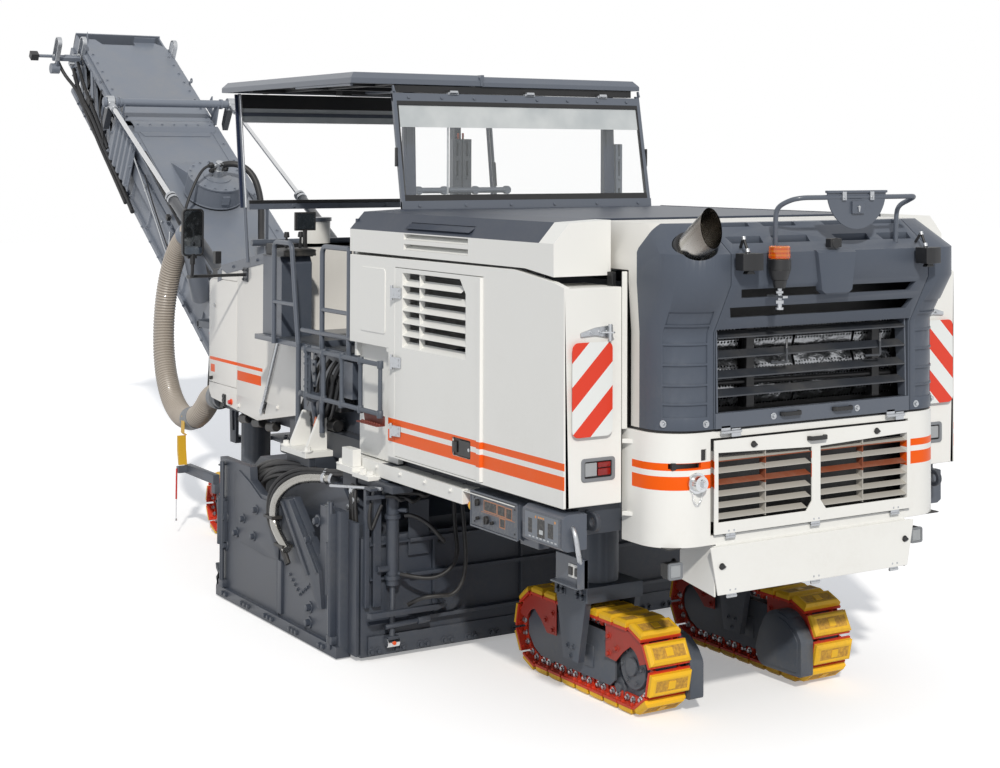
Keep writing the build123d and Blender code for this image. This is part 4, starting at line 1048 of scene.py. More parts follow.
# Work lamps low at the tail and by the platform: a black ribbed body in a grey guard, on an arm, with a
# fluted clear lens. Die-cast aluminium, powder-coated.
lamp_places = ((-225, 955, 1048), (4650, 1155, 1345))
bodies = bmesh.new()
for x, y, z in lamp_places:
    block(bodies, (x - 52, x + 20), about(y, 46), about(z, 46))
    for k in range(5):
        block(bodies, (x + 18, x + 46), (y - 40 + 18 * k, y - 32 + 18 * k), about(z, 38))
    rod(bodies, (x + 20, y - 20, z), (x + 60, y - 70, z + 40), 15)
piece("work_lamp_bodies", mirrored(bodies), black_nylon, "machine", "black_plastic", "work_lamps", edge=5)
guards = bmesh.new()
for x, y, z in lamp_places:
    panel(guards, "x", about(y, 50), about(z, 50), x - 60, x - 40, corner=14)
    hole = bmesh.new()
    block(hole, (x - 80, x - 30), about(y, 36), about(z, 36))
    guards = combine(guards, hole)
piece("work_lamp_guards", mirrored(guards), grey_plastic, "machine", "grey_plastic", edge=4)
glass = bmesh.new()
for x, y, z in lamp_places:
    block(glass, (x - 55, x - 46), about(y, 37), about(z, 37))
piece("work_lamp_glass", mirrored(glass), clear_lens, "machine", "pane", edge=3)

# Ground-level control boxes below the left wall: sloping faces with knobs, rockers and three small dark
# screens. Folded steel, slate grey, with black nylon controls; the thin frames round them are orange.


def shown(tree, axes, boxes):
    """One inside any of some rectangles of stations: x from, x to, z from, z to, in millimetres."""
    total = None
    for a, b, low, high in boxes:
        along = inside(tree, axes.outputs["X"], tower_back * 1000 + a, tower_back * 1000 + b)
        here = both_of(tree, along, inside(tree, axes.outputs["Z"], low, high))
        total = here if total is None else worked_out(tree, "MAXIMUM", total, here)
    return total


slate_sheet = sprayed("slate_grey_paint_on_steel", "#4a515d", amount=0.4)
first_box = ((1425, 1140), (1425, 1372), (1500, 1372), (1534, 1362), (1534, 1160), (1500, 1140))
second_box = ((1425, 1190), (1425, 1400), (1560, 1404), (1596, 1384), (1596, 1206), (1560, 1186))
for side, hand, stands in ((1, "left", ("control_panels",)), (-1, "right", ())):
    boxes = bmesh.new()
    plate(boxes, "x", first_box, 560, 1160)
    plate(boxes, "x", second_box if side > 0 else first_box, -46 if side > 0 else 100, 414)
    for low, high in ((1140, 1154), (1358, 1372)):
        block(boxes, (560, 1160), (1530, 1544), (low, high))
    for a in (560, 1148):
        block(boxes, (a, a + 12), (1530, 1544), (1140, 1372))
    block(boxes, (380, 600), (1420, 1500), (1120, 1200))
    if side > 0:
        block(boxes, (-30, 284), (1404, 1440), (952, 1128))
        block(boxes, (-30, -18), (1404, 1480), (952, 1128))
        block(boxes, (-30, 284), (1404, 1480), (952, 964))
    piece(
        f"{hand}_control_box_housings", other_side(boxes, side), slate_sheet, "machine", "grey_paint",
        *stands, edge=7,
    )
faces, tree, shader, place = finish_of("printed_control_face", "#1d1f22", 0.4)
axes = add(tree, "SeparateXYZ", Vector=place)
windows = [(830, 981, 1268, 1325), (724, 811, 1266, 1323), (640, 705, 1262, 1321), (724, 781, 1196, 1246)]
rims = shown(
    tree, axes,
    [(a - 7, b + 7, low - 7, high + 7) for a, b, low, high in windows] + [(600, 1020, 1252, 1256)],
)
middles = shown(tree, axes, windows)
pale = shown(tree, axes, [(-6, 374, 1218, 1372)])
screens = shown(tree, axes, [(291, 337, 1250, 1336), (146, 232, 1236, 1344), (50, 112, 1250, 1336)])
keys = shown(
    tree, axes, [(12 + 42 * i, 36 + 42 * i, 1226, 1234) for i in range(8)] + [(168, 210, 1256, 1282)],
)
lit_keys = [(154 + 19 * i, 166 + 19 * i, 1348, 1358) for i in range(4)]
amber = shown(tree, axes, lit_keys + [(244, 258, 1344, 1358), (24, 38, 1344, 1358)])
colour = mixed(tree, rims, "#4c525c", "#a8693a")
colour = mixed(tree, middles, colour, "#0f1012")
colour = mixed(tree, pale, colour, "#6b727c")
colour = mixed(tree, screens, colour, "#0e1013")
colour = mixed(tree, keys, colour, "#c3c7ca")
colour = mixed(tree, amber, colour, "#e79a1c")
grit = add(tree, "TexNoise", Vector=place, Scale=60.0, Detail=4.0)
worn = stretched(tree, grit.outputs["Fac"], 0.45, 0.8, 0.0, 0.35)
wire(shader, "Base Color", mixed(tree, worn, colour, "#8d877d"))
panes = bmesh.new()
block(panes, (574, 1146), (1532, 1539), (1156, 1356))
mirrored(panes)
block(panes, (-30, 398), (1594, 1600), (1210, 1380))
piece("control_faces", panes, faces, "machine", "grey_plastic", edge=2)
card = bmesh.new()
block(card, (-12, 130), (1440, 1446), (1004, 1084))
piece("switch_card", card, white_enamel, "machine", "white_paint", edge=2)
knobs = bmesh.new()
for x, z, r in ((1057, 1305, 22), (943, 1211, 26), (1050, 1207, 11), (868, 1205, 11)):
    shaft(knobs, "y", (x, z), (1538, 1558), r, sides=24)
    block(knobs, about(x, 3), (1556, 1564), about(z, r))
for x, z in ((1104, 1330), (1104, 1180), (600, 1180), (600, 1330)):
    shaft(knobs, "y", (x, z), (1538, 1544), 6, sides=12)
mirrored(knobs)
for x in (8, 76):
    block(knobs, (x, x + 40), (1446, 1456), (1020, 1068))
piece("control_knobs", knobs, black_nylon, "machine", "black_plastic", edge=3)
bend = ((-30, 1520, 1330), (-60, 1530, 1322), (-86, 1530, 1280), (-80, 1510, 1190), (-10, 1450, 1100))
tube("grab_tube", bend, 15, zinc_plate, "machine", "chrome")
signal_red = moulded("signal_red_nylon", "#c8241a", 0.35)
signal_yellow = moulded("signal_yellow_nylon", "#e8b40e", 0.4)
stops = bmesh.new()
shaft(stops, "x", (1500, 1262), (1196, 1222), 26, sides=24)
piece("stop_buttons", mirrored(stops), signal_red, "machine", "board", edge=4)
stops = bmesh.new()
shaft(stops, "x", (1500, 1262), (1160, 1198), 36, sides=24)
piece("stop_button_collars", mirrored(stops), signal_yellow, "machine", "board", edge=3)

# Four crawlers: a steel frame in slate grey between two wheels, and a chain of red shoes carrying cast
# polyurethane pads. New pads are yellow; where they run on the road their middles are scuffed tan.
pad_yellow, tree, shader, place = finish_of("yellow_cast_polyurethane", "#f2bd22", 0.48)
weathered(tree, shader, place, paint("#f2bd22"), "#a4873f", 0.6, 0.48)
pad_worn, tree, shader, place = finish_of("scuffed_polyurethane", "#b98a3c", 0.75)
scuff = add(tree, "TexNoise", Vector=place, Scale=46.0, Detail=7.0, Roughness=0.7)
patch = stretched(tree, scuff.outputs["Fac"], 0.35, 0.65)
wire(shader, "Base Color", mixed(tree, patch, "#a97c3a", "#dba93a"))
bumped(shader, scuff.outputs["Fac"], 0.5, 0.002)
shoe_red = sprayed(
    "red_paint_on_forged_steel", "#d2381c", dust="#6e5244", amount=0.7, roughness=0.5, coat=0.0,
)
frame_grey = sprayed(
    "slate_grey_paint_on_castings", "#474e59", dust="#77736b", amount=0.5, roughness=0.45, coat=0.0,
)
guard_red = sprayed(
    "dark_red_paint_on_guards", "#a92c1e", dust="#6e5244", amount=0.5, roughness=0.45, coat=0.0,
)
reach, wheel_z = 560, 290


def shoe_places(count=22, radius=235):
    """Where each shoe of a track sits round its two wheels: forward, up, and its turn."""
    whole = 4 * reach + math.tau * radius
    for number in range(count):
        run = (number + 0.5) / count * whole
        arc = math.pi * radius
        if run < 2 * reach:
            yield run - reach, radius, 0.0
        elif run < 2 * reach + arc:
            turn = (run - 2 * reach) / radius
            yield reach + radius * math.sin(turn), radius * math.cos(turn), turn
        elif run < 4 * reach + arc:
            yield reach - (run - 2 * reach - arc), -radius, math.pi
        else:
            turn = math.pi + (run - 4 * reach - arc) / radius
            yield radius * math.sin(turn) - reach, radius * math.cos(turn), turn


def laid_round(template, cx, cy):
    """Copies of a shape built round the tower line, one on each shoe of a track."""
    pattern = bpy.data.meshes.new("work")
    template.to_mesh(pattern)
    template.free()
    made = bmesh.new()
    back = Matrix.Translation(-at(0, 0, 0))
    for forward, up, turn in shoe_places():
        count = len(made.verts)
        made.from_mesh(pattern)
        seat = Matrix.Translation(at(cx + forward, cy, wheel_z + up)) @ Matrix.Rotation(turn, 4, "Y") @ back
        bmesh.ops.transform(made, matrix=seat, verts=made.verts[count:] if count else made.verts[:])
    bpy.data.meshes.remove(pattern)
    return made


for name, cx, cy in (
    ("front_left", 6500, 800), ("front_right", 6500, -800), ("rear_left", 1020, 655),
    ("rear_right", 1020, -655),
):
    rider = f"{name}_crawler"
    pad = bmesh.new()
    block(pad, (-70, 70), (-152, 152), (10, 52))
    tops = [e for e in pad.edges if all(v.co.z > 0.05 for v in e.verts)]
    bmesh.ops.bevel(pad, geom=tops, offset=0.016, segments=1, profile=0.5, affect="EDGES", material=-1)
    crown = [f for f in pad.faces if f.normal.z > 0.9 and f.calc_center_median().z > 0.04]
    bmesh.ops.inset_region(pad, faces=crown, thickness=0.020, depth=0.0)
    bmesh.ops.inset_region(pad, faces=crown, thickness=0.004, depth=-0.002)
    for face in crown:
        face.material_index = 1
    block(pad, (-26, 26), (-26, 26), (48, 54.5))
    made = piece(
        f"{name}_pads", laid_round(pad, cx, cy), pad_yellow, rider, "track_pads", f"{name}_track", edge=3,
    )
    made.data.materials.append(pad_worn)
    shoe = bmesh.new()
    block(shoe, (-78, 78), (-155, 155), (-6, 10))
    for side in (1, -1):
        block(shoe, (-72, 72), about(side * 92, 9), (-54, -4))
        shaft(shoe, "y", (-52, -30), about(side * 92, 16), 17, sides=8)
        shaft(shoe, "z", (52, side * 132), (-6, -20), 12, sides=6)
        shaft(shoe, "z", (-52, side * 132), (-6, -20), 12, sides=6)
    piece(f"{name}_shoes_and_links", laid_round(shoe, cx, cy), shoe_red, rider, "dark_steel", edge=0)
    guards = bmesh.new()
    for end in (1, -1):
        for side in (1, -1):
            arc = [math.radians(a) for a in range(18, 91, 9)]
            outer = [(cx + end * (reach + 226 * math.cos(a)), wheel_z + 226 * math.sin(a)) for a in arc]
            inner = [
                (cx + end * (reach + 134 * math.cos(a)), wheel_z + 134 * math.sin(a)) for a in reversed(arc)
            ]
            foot = [(cx + end * x, z) for x, z in ((300, 516), (300, 300), (420, 296), (500, 370))]
            plate(guards, "y", outer + foot + inner[1:], cy + side * 134, cy + side * 142)
            heads = [(cx + end * x, cy + side * 142, z) for x, z in ((340, 440), (340, 330), (430, 380))]
            bolts(guards, heads, (0, side, 0), 26)
    piece(f"{name}_guards", guards, guard_red, rider, "dark_steel", edge=3)
    heads = bmesh.new()
    for side in (1, -1):
        bolts(heads, [(k, side * 104, -30) for k in (-34, 30)], (0, side, 0), 24)
    piece(f"{name}_link_bolts", laid_round(heads, cx, cy), zinc_plate, rider, "chrome", edge=0)
    leg = shape_of(f"{name}_leg")
    bolts(
        leg,
        [(cx + x, cy + side * 215, z) for x in (-150, -90, 90, 150) for z in (650, 690) for side in (1, -1)],
        (0, 1, 0), 30,
    )
    for a in (0.5, 2.6, 4.7):
        heads = [(cx + 42 * math.cos(a), cy + side * 216, wheel_z + 42 * math.sin(a)) for side in (1, -1)]
        bolts(leg, heads, (0, 1, 0), 20)
    drive_end = -1 if name.startswith("rear") else 1
    skirt = (
        (-330, 122), (520, 118), (610, 160), (682, 240), (682, 330), (610, 410), (500, 450), (-300, 450),
        (-392, 380), (-392, 170),
    )
    for side in (1, -1):
        plate(leg, "y", [(cx - drive_end * x, z) for x, z in skirt], cy + side * 112, cy + side * 126)
        block(leg, about(cx + drive_end * 90, 50), about(cy + side * 129, 5), (190, 330))
    inward = -1 if cy > 0 else 1
    cover = (
        (250, 96), (250, 330), (196, 400), (116, 452), (20, 476), (-100, 440), (-190, 330), (-236, 190),
        (-200, 110), (-150, 90),
    )
    near, far = sorted((cy + inward * 160, cy + inward * 262))
    plate(leg, "y", [(cx + drive_end * (reach + x), z) for x, z in cover], near, far, corner=18)
    plate(
        leg, "y", [(cx + drive_end * (reach + 0.86 * x), 285 + 0.86 * (z - 285)) for x, z in cover],
        near - 6, far + 6, corner=12,
    )
    piece(f"{name}_frame", leg, frame_grey, rider, "dark_steel", f"{name}_leg", edge=4)
    wheels = bmesh.new()
    for end in (1, -1):
        for side in (1, -1):
            hub = (cx + end * reach, cy + side * 82, wheel_z)
            rod(wheels, hub, (hub[0], cy + side * 104, wheel_z), 150, sides=36, taper=0.94)
            rod(wheels, hub, (hub[0], cy + side * 124, wheel_z), 62, sides=28, taper=0.9)
            for a in (0, 1.05, 2.1, 3.14, 4.19, 5.24):
                head = (hub[0] + 106 * math.cos(a), cy + side * 104, wheel_z + 106 * math.sin(a))
                bolts(wheels, [head], (0, side, 0), 22)
    for k in range(5):
        shaft(wheels, "y", (cx - 400 + 200 * k, 122), about(cy, 96), 62, sides=28)
        shaft(wheels, "y", (cx - 400 + 200 * k, 122), about(cy, 112), 30, sides=20)
    piece(f"{name}_wheels_and_rollers", wheels, frame_grey, rider, "dark_steel", edge=3)

# Main frame and undercarriage: welded box beams that carry the columns. Slate grey on steel, oily and dusty.
under_grey = sprayed(
    "slate_grey_paint_on_frame", "#363b44", dust="#625e57", amount=0.5, roughness=0.5, coat=0.0,
)
chassis = shape_of("chassis")
bolts(chassis, [(x, side * 1420, 1340) for x in range(150, 2300, 430) for side in (1, -1)], (0, 1, 0), 26)
piece("welded_frame", chassis, under_grey, "machine", "dark_steel", "chassis", edge=5)
piece(
    "lashing_eye_plates", shape_of("lashing_eyes"), under_grey, "machine", "dark_steel", "lashing_eyes",
    edge=6,
)

# White beam covers, and the bracket pads that carry the drum housing: pressed sheet and cast steel, bolted
# to the frame below the doors.
for side, hand, wide, end in ((1, "left", 1640, 2960), (-1, "right", 1432, 2620)):
    skirts = bmesh.new()
    panel(skirts, "y", (1250, end), (1262, 1360), 1542, 1552)
    panel(skirts, "y", (330, 1250), (1262, 1352), 1420, 1430)
    panel(skirts, "z", (600, end), (1424, 1548), 1346, 1352)
    panel(skirts, "x", (1424, 1552), (1262, 1360), 1244, 1252)
    block(skirts, (2700, 2960), (1380, wide), (1252, 1300))
    block(skirts, (3500, 3960), (1380, wide), (1252, 1296))
    bolts(skirts, [(x, 1552, 1330) for x in range(1400, end, 360)], (0, 1, 0), 20)
    if side > 0:
        block(skirts, (2720, 2900), (1560, 1625), (1300, 1420))
        block(skirts, (2440, 2700), (1434, 1640), (1240, 1270))
        for x in (3560, 3860):
            plate(
                skirts, "x", ((1440, 1296), (1440, 1560), (1500, 1560), (1600, 1330), (1600, 1296)), x,
                x + 30,
            )
        bolts(skirts, [(x, y, 1270) for x in (2490, 2600) for y in (1500, 1600)], (0, 0, 1), 44)
        bolts(skirts, [(x, 1610, 1300) for x in (2930, 3530, 3930)], (0, 0, 1), 44)
    piece(
        f"{hand}_beam_cover_and_pads", other_side(skirts, side), white_enamel, "machine", "white_paint",
        edge=4,
    )
    packing = bmesh.new()
    block(packing, (2720, 2940), (1380, wide - 40), (1142, 1252))
    block(packing, (3520, 3940), (1380, wide - 40), (1142, 1252))
    if side > 0:
        block(packing, (2150, 2690), (1440, 1600), (1190, 1240))
    piece(f"{hand}_bracket_packing", other_side(packing, side), under_grey, "machine", "dark_steel", edge=6)

# Drum housing and its drum. The housing is welded plate in slate grey with a hatch frame on top; the drum
# is a bare steel body whose pick holders climb it in two spirals towards the middle.
housing_grey = sprayed(
    "slate_grey_paint_on_plate", "#383e49", dust="#6f6d68", amount=0.35, roughness=0.42, coat=0.0,
)
housing = shape_of("drum_housing")
for y in (-900, -300, 300, 900):
    plate(housing, "y", ((3050, 1140), (3060, 1176), (4340, 1176), (4350, 1140)), y, y + 14)
for side in (1, -1):
    block(housing, (3000, 4400), span(side, 1290, 1330), (1140, 1170))
bolts(housing, [(x, y, 1140) for x in (3010, 4400) for y in range(-1200, 1300, 300)], (0, 0, 1), 30)
piece("drum_housing_plates", housing, housing_grey, "machine", "dark_steel", "drum_housing", edge=5)
worn_steel = plated("worn_drum_steel", "#6f6a63", 0.5, scale=30.0)
drum = bmesh.new()
drum_x, drum_z, picks = 3720, 560, 150
shaft(drum, "y", (drum_x, drum_z), (-1272, 872), 400, sides=64)
for number in range(picks):
    share = number / (picks - 1)
    y = -1240 + 2080 * share
    turn = 15.0 * abs(share - 0.5) * 2 + number * 2.4
    out = Vector((math.cos(turn), 0, math.sin(turn)))
    lead = Vector((-math.sin(turn), 0, math.cos(turn)))
    foot = drum_x + 396 * out.x, drum_z + 396 * out.z
    tip = drum_x + 488 * out.x + 26 * lead.x, drum_z + 488 * out.z + 26 * lead.z
    rod(drum, (foot[0], y, foot[1]), (tip[0], y, tip[1]), 27, sides=8, taper=0.65)
piece("milling_drum_with_picks", drum, worn_steel, "drum", "dark_steel", "milling_drum", edge=0)

# Side plates: thick wear plates beside the drum, with a stepped cover plate, a rib, four wear skids and
# guide sleeves front and rear. Flame-cut steel, slate grey; skids bolted on in pairs.
dull_rod = plated("oiled_guide_rod", "#6f7276", 0.34)
for side, hand, near, far in ((1, "left", 1720, 1780), (-1, "right", 1440, 1500)):
    rider = f"{hand}_plate"
    bm = shape_of(f"{hand}_side_plate")
    dip = bmesh.new()
    low_edge = (
        (4250, 1300), (4212, 1005), (4009, 930), (3620, 930), (3590, 972), (3400, 996), (2960, 640),
        (2920, 680), (2920, 1300),
    )
    plate(dip, "y", low_edge, side * (near - 60), side * (far + 60))
    bm = combine(bm, dip)
    cover = (
        (4520, 1010), (4520, 660), (4390, 505), (3900, 480), (3690, 494), (3690, 90), (3644, 90),
        (3644, 520), (3610, 900), (3990, 900), (4200, 985), (4430, 1050),
    )
    if side > 0:
        plate(bm, "y", cover, far, far + 9)
        block(bm, (2450, 2640), (1700, 1722), (40, 960))
    panel(bm, "y", (3640, 3576), (110, 500), far, far + 16)
    plate(
        bm, "y", ((3600, 960), (3400, 985), (2890, 560), (2840, 300), (2900, 290), (3090, 500)), far,
        far + 24,
    )
    plate(bm, "y", ((3560, 950), (3520, 955), (3050, 500), (3090, 490)), far + 24, far + 36)
    plate(bm, "y", ((3420, 975), (3390, 980), (2900, 545), (2930, 540)), far + 24, far + 36)
    panel(bm, "y", (2700, 2660), (60, 1000), far, far + 40)
    for start in (2720, 3180, 3640, 4100, 4560):
        end = min(start + 430, 4820)
        plate(bm, "y", ((start, 14), (start, 84), (end, 84), (end + 10, 40), (end, 14)), far, far + 22)
    plate(
        bm, "y", ((4830, 30), (4860, 190), (4930, 240), (4920, 200), (4880, 170), (4920, 40), (4880, 14)),
        far - 40, far,
    )
    pairs = [
        (x, far + 22, 50)
        for x in (2790, 2850, 3250, 3310, 3370, 3700, 3770, 3840, 4160, 4230, 4300, 4620, 4690)
    ]
    bolts(bm, pairs, (0, 1, 0), 34)
    spots = ((4075, 800), (4330, 690), (4120, 590), (4470, 560))
    bolts(bm, [(x, far + 9, z) for x, z in spots], (0, 1, 0), 40)
    spots = ((3090, 260), (3100, 150), (3110, 740), (2960, 900), (4700, 640), (4700, 420))
    bolts(bm, [(x, far, z) for x, z in spots], (0, 1, 0), 46)
    for k in range(9):
        lean = 3440 - 45 * k, 430 - (abs(4 - k) < 4) * (110 - 26 * abs(4 - k))
        bolts(bm, [(lean[0], far, lean[1])], (0, 1, 0), 17)
    for x, half in ((4740, 60), (2720, 46)):
        shaft(bm, "z", (x, far + 22), (430, 790), half - 22, sides=28)
        block(bm, about(x, half), (far, far + 26), (450, 770))
    if side < 0:
        extra = [v for v in bm.verts if v.co.y > 0]
        bmesh.ops.scale(bm, verts=extra, vec=(1, -1, 1))
    piece(f"{hand}_wear_plate", bm, housing_grey, rider, "dark_steel", f"{hand}_side_plate", edge=4)
    rods = bmesh.new()
    for x in (4740, 2720):
        shaft(rods, "z", (x, far + 22), (150, 1060), 11)
        bolts(rods, [(x, far + 22, 1050)], (0, 0, 1), 34)
    piece(f"{hand}_guide_rods", other_side(rods, side), dull_rod, rider, "chrome", edge=1)

# Scraper at the back of the drum: a plate with ribs, a bolted cutting edge and an arm, lifted by two
# cylinders with chromed rods. Slate grey; lug pins carry orange grease caps.
blade = shape_of("scraper_blade")
for z in (250, 560, 800):
    plate(blade, "y", ((2440, z - 5), (2402, z), (2402, z + 8), (2440, z + 24)), -1340, 1640)
for y in (1140, 420, -420, -1100):
    block(blade, (2410, 2440), about(y, 8), (260, 800))
block(blade, (2424, 2440), (-1350, 1640), (36, 170))
bolts(blade, [(2424, y + k, 66) for y in range(-1260, 1640, 190) for k in (-26, 26)], (-1, 0, 0), 30)
arm = (
    (2318, 1700), (2275, 1690), (2275, 1180), (2330, 1080), (2430, 1060), (2430, 1100), (2345, 1120),
    (2318, 1190),
)
plate(blade, "z", arm, 330, 366)
rod(blade, (2360, 1540, 240), (2350, 1240, 260), 17)
rod(blade, (2350, 1300, 255), (2350, 1210, 262), 26)
piece("scraper_plate", blade, housing_grey, "scraper", "dark_steel", "scraper_blade", edge=4)
orange_cap = moulded("orange_polythene_cap", "#e8541a", 0.45)
caps = bmesh.new()
lift_x, lift_ys = 2380, (1480, -1240)
hydraulic = plated("ground_chrome_rod", "#d9dadb", 0.12, mottle=0.05)
for y in lift_ys:
    shaft(caps, "z", (lift_x, y), (150, 164), 12, sides=14)
    shaft(caps, "x", (y, 126), (2338, 2346), 14, sides=14)
piece("scraper_pin_caps", caps, orange_cap, "scraper", "board", edge=2)
cylinders = bmesh.new()
for y in lift_ys:
    shaft(cylinders, "z", (lift_x, y), (520, 1150), 45, sides=32)
    for z in (560, 980, 1120):
        shaft(cylinders, "z", (lift_x, y), (z, z + 30), 56, sides=32)
    shaft(cylinders, "y", (lift_x, 1180), about(y, 60), 52, sides=28)
    for z in (600, 1040):
        rod(cylinders, (2350, y - 30, z), (2300, y - 70, z), 16)
    block(cylinders, (2330, 2440), (y - 150, y + 80), (1216, 1250))
piece("lift_cylinder_barrels", cylinders, housing_grey, "machine", "dark_steel", "lift_cylinders", edge=3)
rods = bmesh.new()
for y in lift_ys:
    shaft(rods, "z", (lift_x, y), (120, 530), 19, sides=24)
    shaft(rods, "y", (lift_x, 126), about(y, 46), 34, sides=24)
piece("lift_cylinder_rods", rods, hydraulic, "scraper", "chrome", edge=2)

# Hoses and pipes round the drum housing: black braided hose with crimped zinc ends, and one large bright
# steel suction pipe bent down over the left plate in clamps.


def route_of(stops):
    """Points close together on a smooth line through a few places in millimetres."""
    guide = bpy.data.curves.new("work", "CURVE")
    guide.dimensions = "3D"
    run = guide.splines.new("NURBS")
    run.points.add(len(stops) - 1)
    for point, stop in zip(run.points, stops):
        point.co = (*at(*stop), 1)
    run.order_u = 3
    run.use_endpoint_u = True
    run.resolution_u = 24
    holder = bpy.data.objects.new("work", guide)
    scene.collection.objects.link(holder)
    line = bpy.data.meshes.new_from_object(holder)
    points = [v.co.copy() for v in line.vertices]
    bpy.data.objects.remove(holder)
    bpy.data.curves.remove(guide)
    bpy.data.meshes.remove(line)
    return points


def swept(points, pitch, low, high, sides=28):
    """Rings along a route, wide and narrow by turns, bridged into one skin."""
    runs = [0.0]
    for a, b in zip(points, points[1:]):
        runs.append(runs[-1] + (b - a).length)
    count = int(runs[-1] / (pitch / 2))
    bm = bmesh.new()
    layer = bm.verts.layers.float.new("rib")
    last, side, spot = None, Vector((0, 1, 0)), 0
    for number in range(count + 1):
        where = runs[-1] * number / count
        while spot < len(runs) - 2 and runs[spot + 1] < where:
            spot += 1
        share = (where - runs[spot]) / max(runs[spot + 1] - runs[spot], 1e-9)
        centre = points[spot].lerp(points[spot + 1], share)
        ahead = (points[min(spot + 2, len(points) - 1)] - points[max(spot - 1, 0)]).normalized()
        side = (side - ahead * side.dot(ahead)).normalized()
        turn = Matrix((side, ahead.cross(side), ahead)).transposed().to_4x4()
        wide = number % 2 == 0
        made = bmesh.ops.create_circle(
            bm, segments=sides, radius=high if wide else low, matrix=Matrix.Translation(centre) @ turn,
        )["verts"]
        for vert in made:
            vert[layer] = 1.0 if wide else 0.0
        edges = list({e for v in made for e in v.link_edges})
        if last:
            bmesh.ops.bridge_loops(bm, edges=last + edges)
        else:
            bmesh.ops.contextual_create(bm, geom=made)
        last = edges
    bmesh.ops.contextual_create(bm, geom=made)
    return bm


hose_black = moulded("hydraulic_hose_rubber", "#15161a", 0.5, grain_mm=5.0)
dull_chrome = plated("brushed_stainless_pipe", "#a9a7a2", 0.24, mottle=0.08)
for name, run in (
    (
        "hose_a",
        (
            (2330, 1410, 1000), (2290, 1380, 1010), (2200, 1300, 960), (2180, 1200, 840), (2230, 1150, 800),
            (2330, 1140, 790),
        ),
    ),
    (
        "hose_b",
        (
            (2330, 1440, 600), (2260, 1400, 590), (2180, 1250, 570), (2160, 1120, 640), (2200, 1060, 740),
            (2300, 1040, 900), (2330, 1030, 1140),
        ),
    ),
    (
        "hose_c",
        (
            (2330, 1380, 380), (2240, 1340, 440), (2190, 1220, 450), (2180, 1100, 440), (2150, 1030, 560),
            (2200, 1000, 800), (2300, 990, 1140),
        ),
    ),
    (
        "hose_d",
        ((2400, 1640, 1100), (2390, 1660, 1000), (2390, 1640, 900), (2390, 1600, 1000), (2390, 1560, 1080)),
    ),
):
    tube(name, run, 15, hose_black, "machine", "hose_plastic")
for number in range(7):
    back, low = 70 * (number % 4), 26 * (number // 2)
    run = (
        (3700 - back, 1560, 1170), (3880 - back, 1660, 1186 - low), (4150 - back, 1694, 1140 - low),
        (4372 - back, 1696, 1030 - low), (4390 - back, 1692, 900), (4300 - back, 1690, 860),
    )
    tube(f"bundle_hose_{number + 1}", run, 19, hose_black, "machine", "hose_plastic")
over_plate = (
    (3080, 1600, 1160), (3250, 1640, 1150), (3400, 1720, 1130), (3490, 1800, 1070), (3590, 1826, 980),
    (3640, 1828, 890), (3640, 1828, 775), (3545, 1828, 700), (3400, 1826, 620),
)
hanging = [("suction_pipe", over_plate, 34, dull_chrome, "chrome")]
for number, (out, up) in enumerate(((56, 30), (96, 52))):
    run = [
        (x + out * min(1.0, (x - 3000) / 500), y + 4, z + up * (1 - max(0.0, (1100 - z) / 500)))
        for x, y, z in over_plate
    ]
    run = [(2900, 1580, 1190 + up)] + run + [(3350 + out / 2, 1822, 540 - up / 2)]
    hanging.append((f"guarded_hose_{number + 1}", run, 17, hose_black, "hose_plastic"))
for name, run, radius, finish, slot in hanging:
    skin = swept(route_of(run), 0.036, radius / 1000, radius / 1000, sides=20)
    made = piece(name, skin, finish, None, slot, edge=0)
    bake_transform(made)
clamps = bmesh.new()
for a, b in (((3160, 1616, 1157), (3190, 1624, 1155)), ((3070, 1598, 1160), (3100, 1604, 1160))):
    rod(clamps, a, b, 46, sides=24)
bolts(clamps, [(3175, 1620, 1206)], (0, 0, 1), 26)
piece("pipe_clamps", clamps, zinc_plate, "machine", "chrome", edge=2)
straps = bmesh.new()
for place in ((3636, 1828, 820), (3440, 1827, 642)):
    block(straps, (place[0] - 46, place[0] + 110), (1781, 1868), about(place[2], 11))
piece("hose_straps", straps, black_nylon, "left_plate", "black_plastic", edge=3)
bar = bmesh.new()
rod(bar, (2930, 1698, 1145), (2270, 1620, 1213), 12)
for k, (x, y, z) in enumerate(((2640, 1690, 1150), (2600, 1690, 1090), (2680, 1690, 1030))):
    shaft(bar, "y", (x, z), (y - 50, y - 8), 22, sides=16)
piece("top_bar_and_couplings", bar, zinc_plate, "machine", "chrome", edge=2)
for number, (x, y) in enumerate(((2640, 1668), (2610, 1672), (2580, 1664))):
    tube(
        f"edge_hose_{number + 1}",
        (
            (x + 60, y - 30, 1180), (x + 20, y, 1160), (x, y + 6, 1040), (x - 12 * number, y, 800),
            (x - 30, y - 6, 620), (x - 60, y - 40, 520),
        ), 15, hose_black, "machine", "hose_plastic",
    )
for number, (y, z) in enumerate(((1420, 1130), (1330, 1110), (1240, 1140))):
    tube(
        f"top_hose_{number + 1}",
        ((2330, 1560, 1150), (2290, y + 90, z + 30), (2280, y + 40, z - 30), (2320, y - 40, z + 20)), 15,
        hose_black, "machine", "hose_plastic",
    )
guard = bmesh.new()
block(guard, (2300, 2400), (1160, 1690), (1196, 1216))
panel(guard, "x", (1300, 1700), (1130, 1160), 2340, 2350)
panel(guard, "x", (1180, 1340), (700, 1080), 2410, 2424)
shaft(guard, "y", (2370, 640), (1600, 1480), 22)
block(guard, (2390, 2430), (1560, 1620), (380, 1190))
block(guard, (2390, 2430), (1650, 1680), (380, 1190))
piece("scraper_guides", guard, housing_grey, "machine", "dark_steel", edge=4)

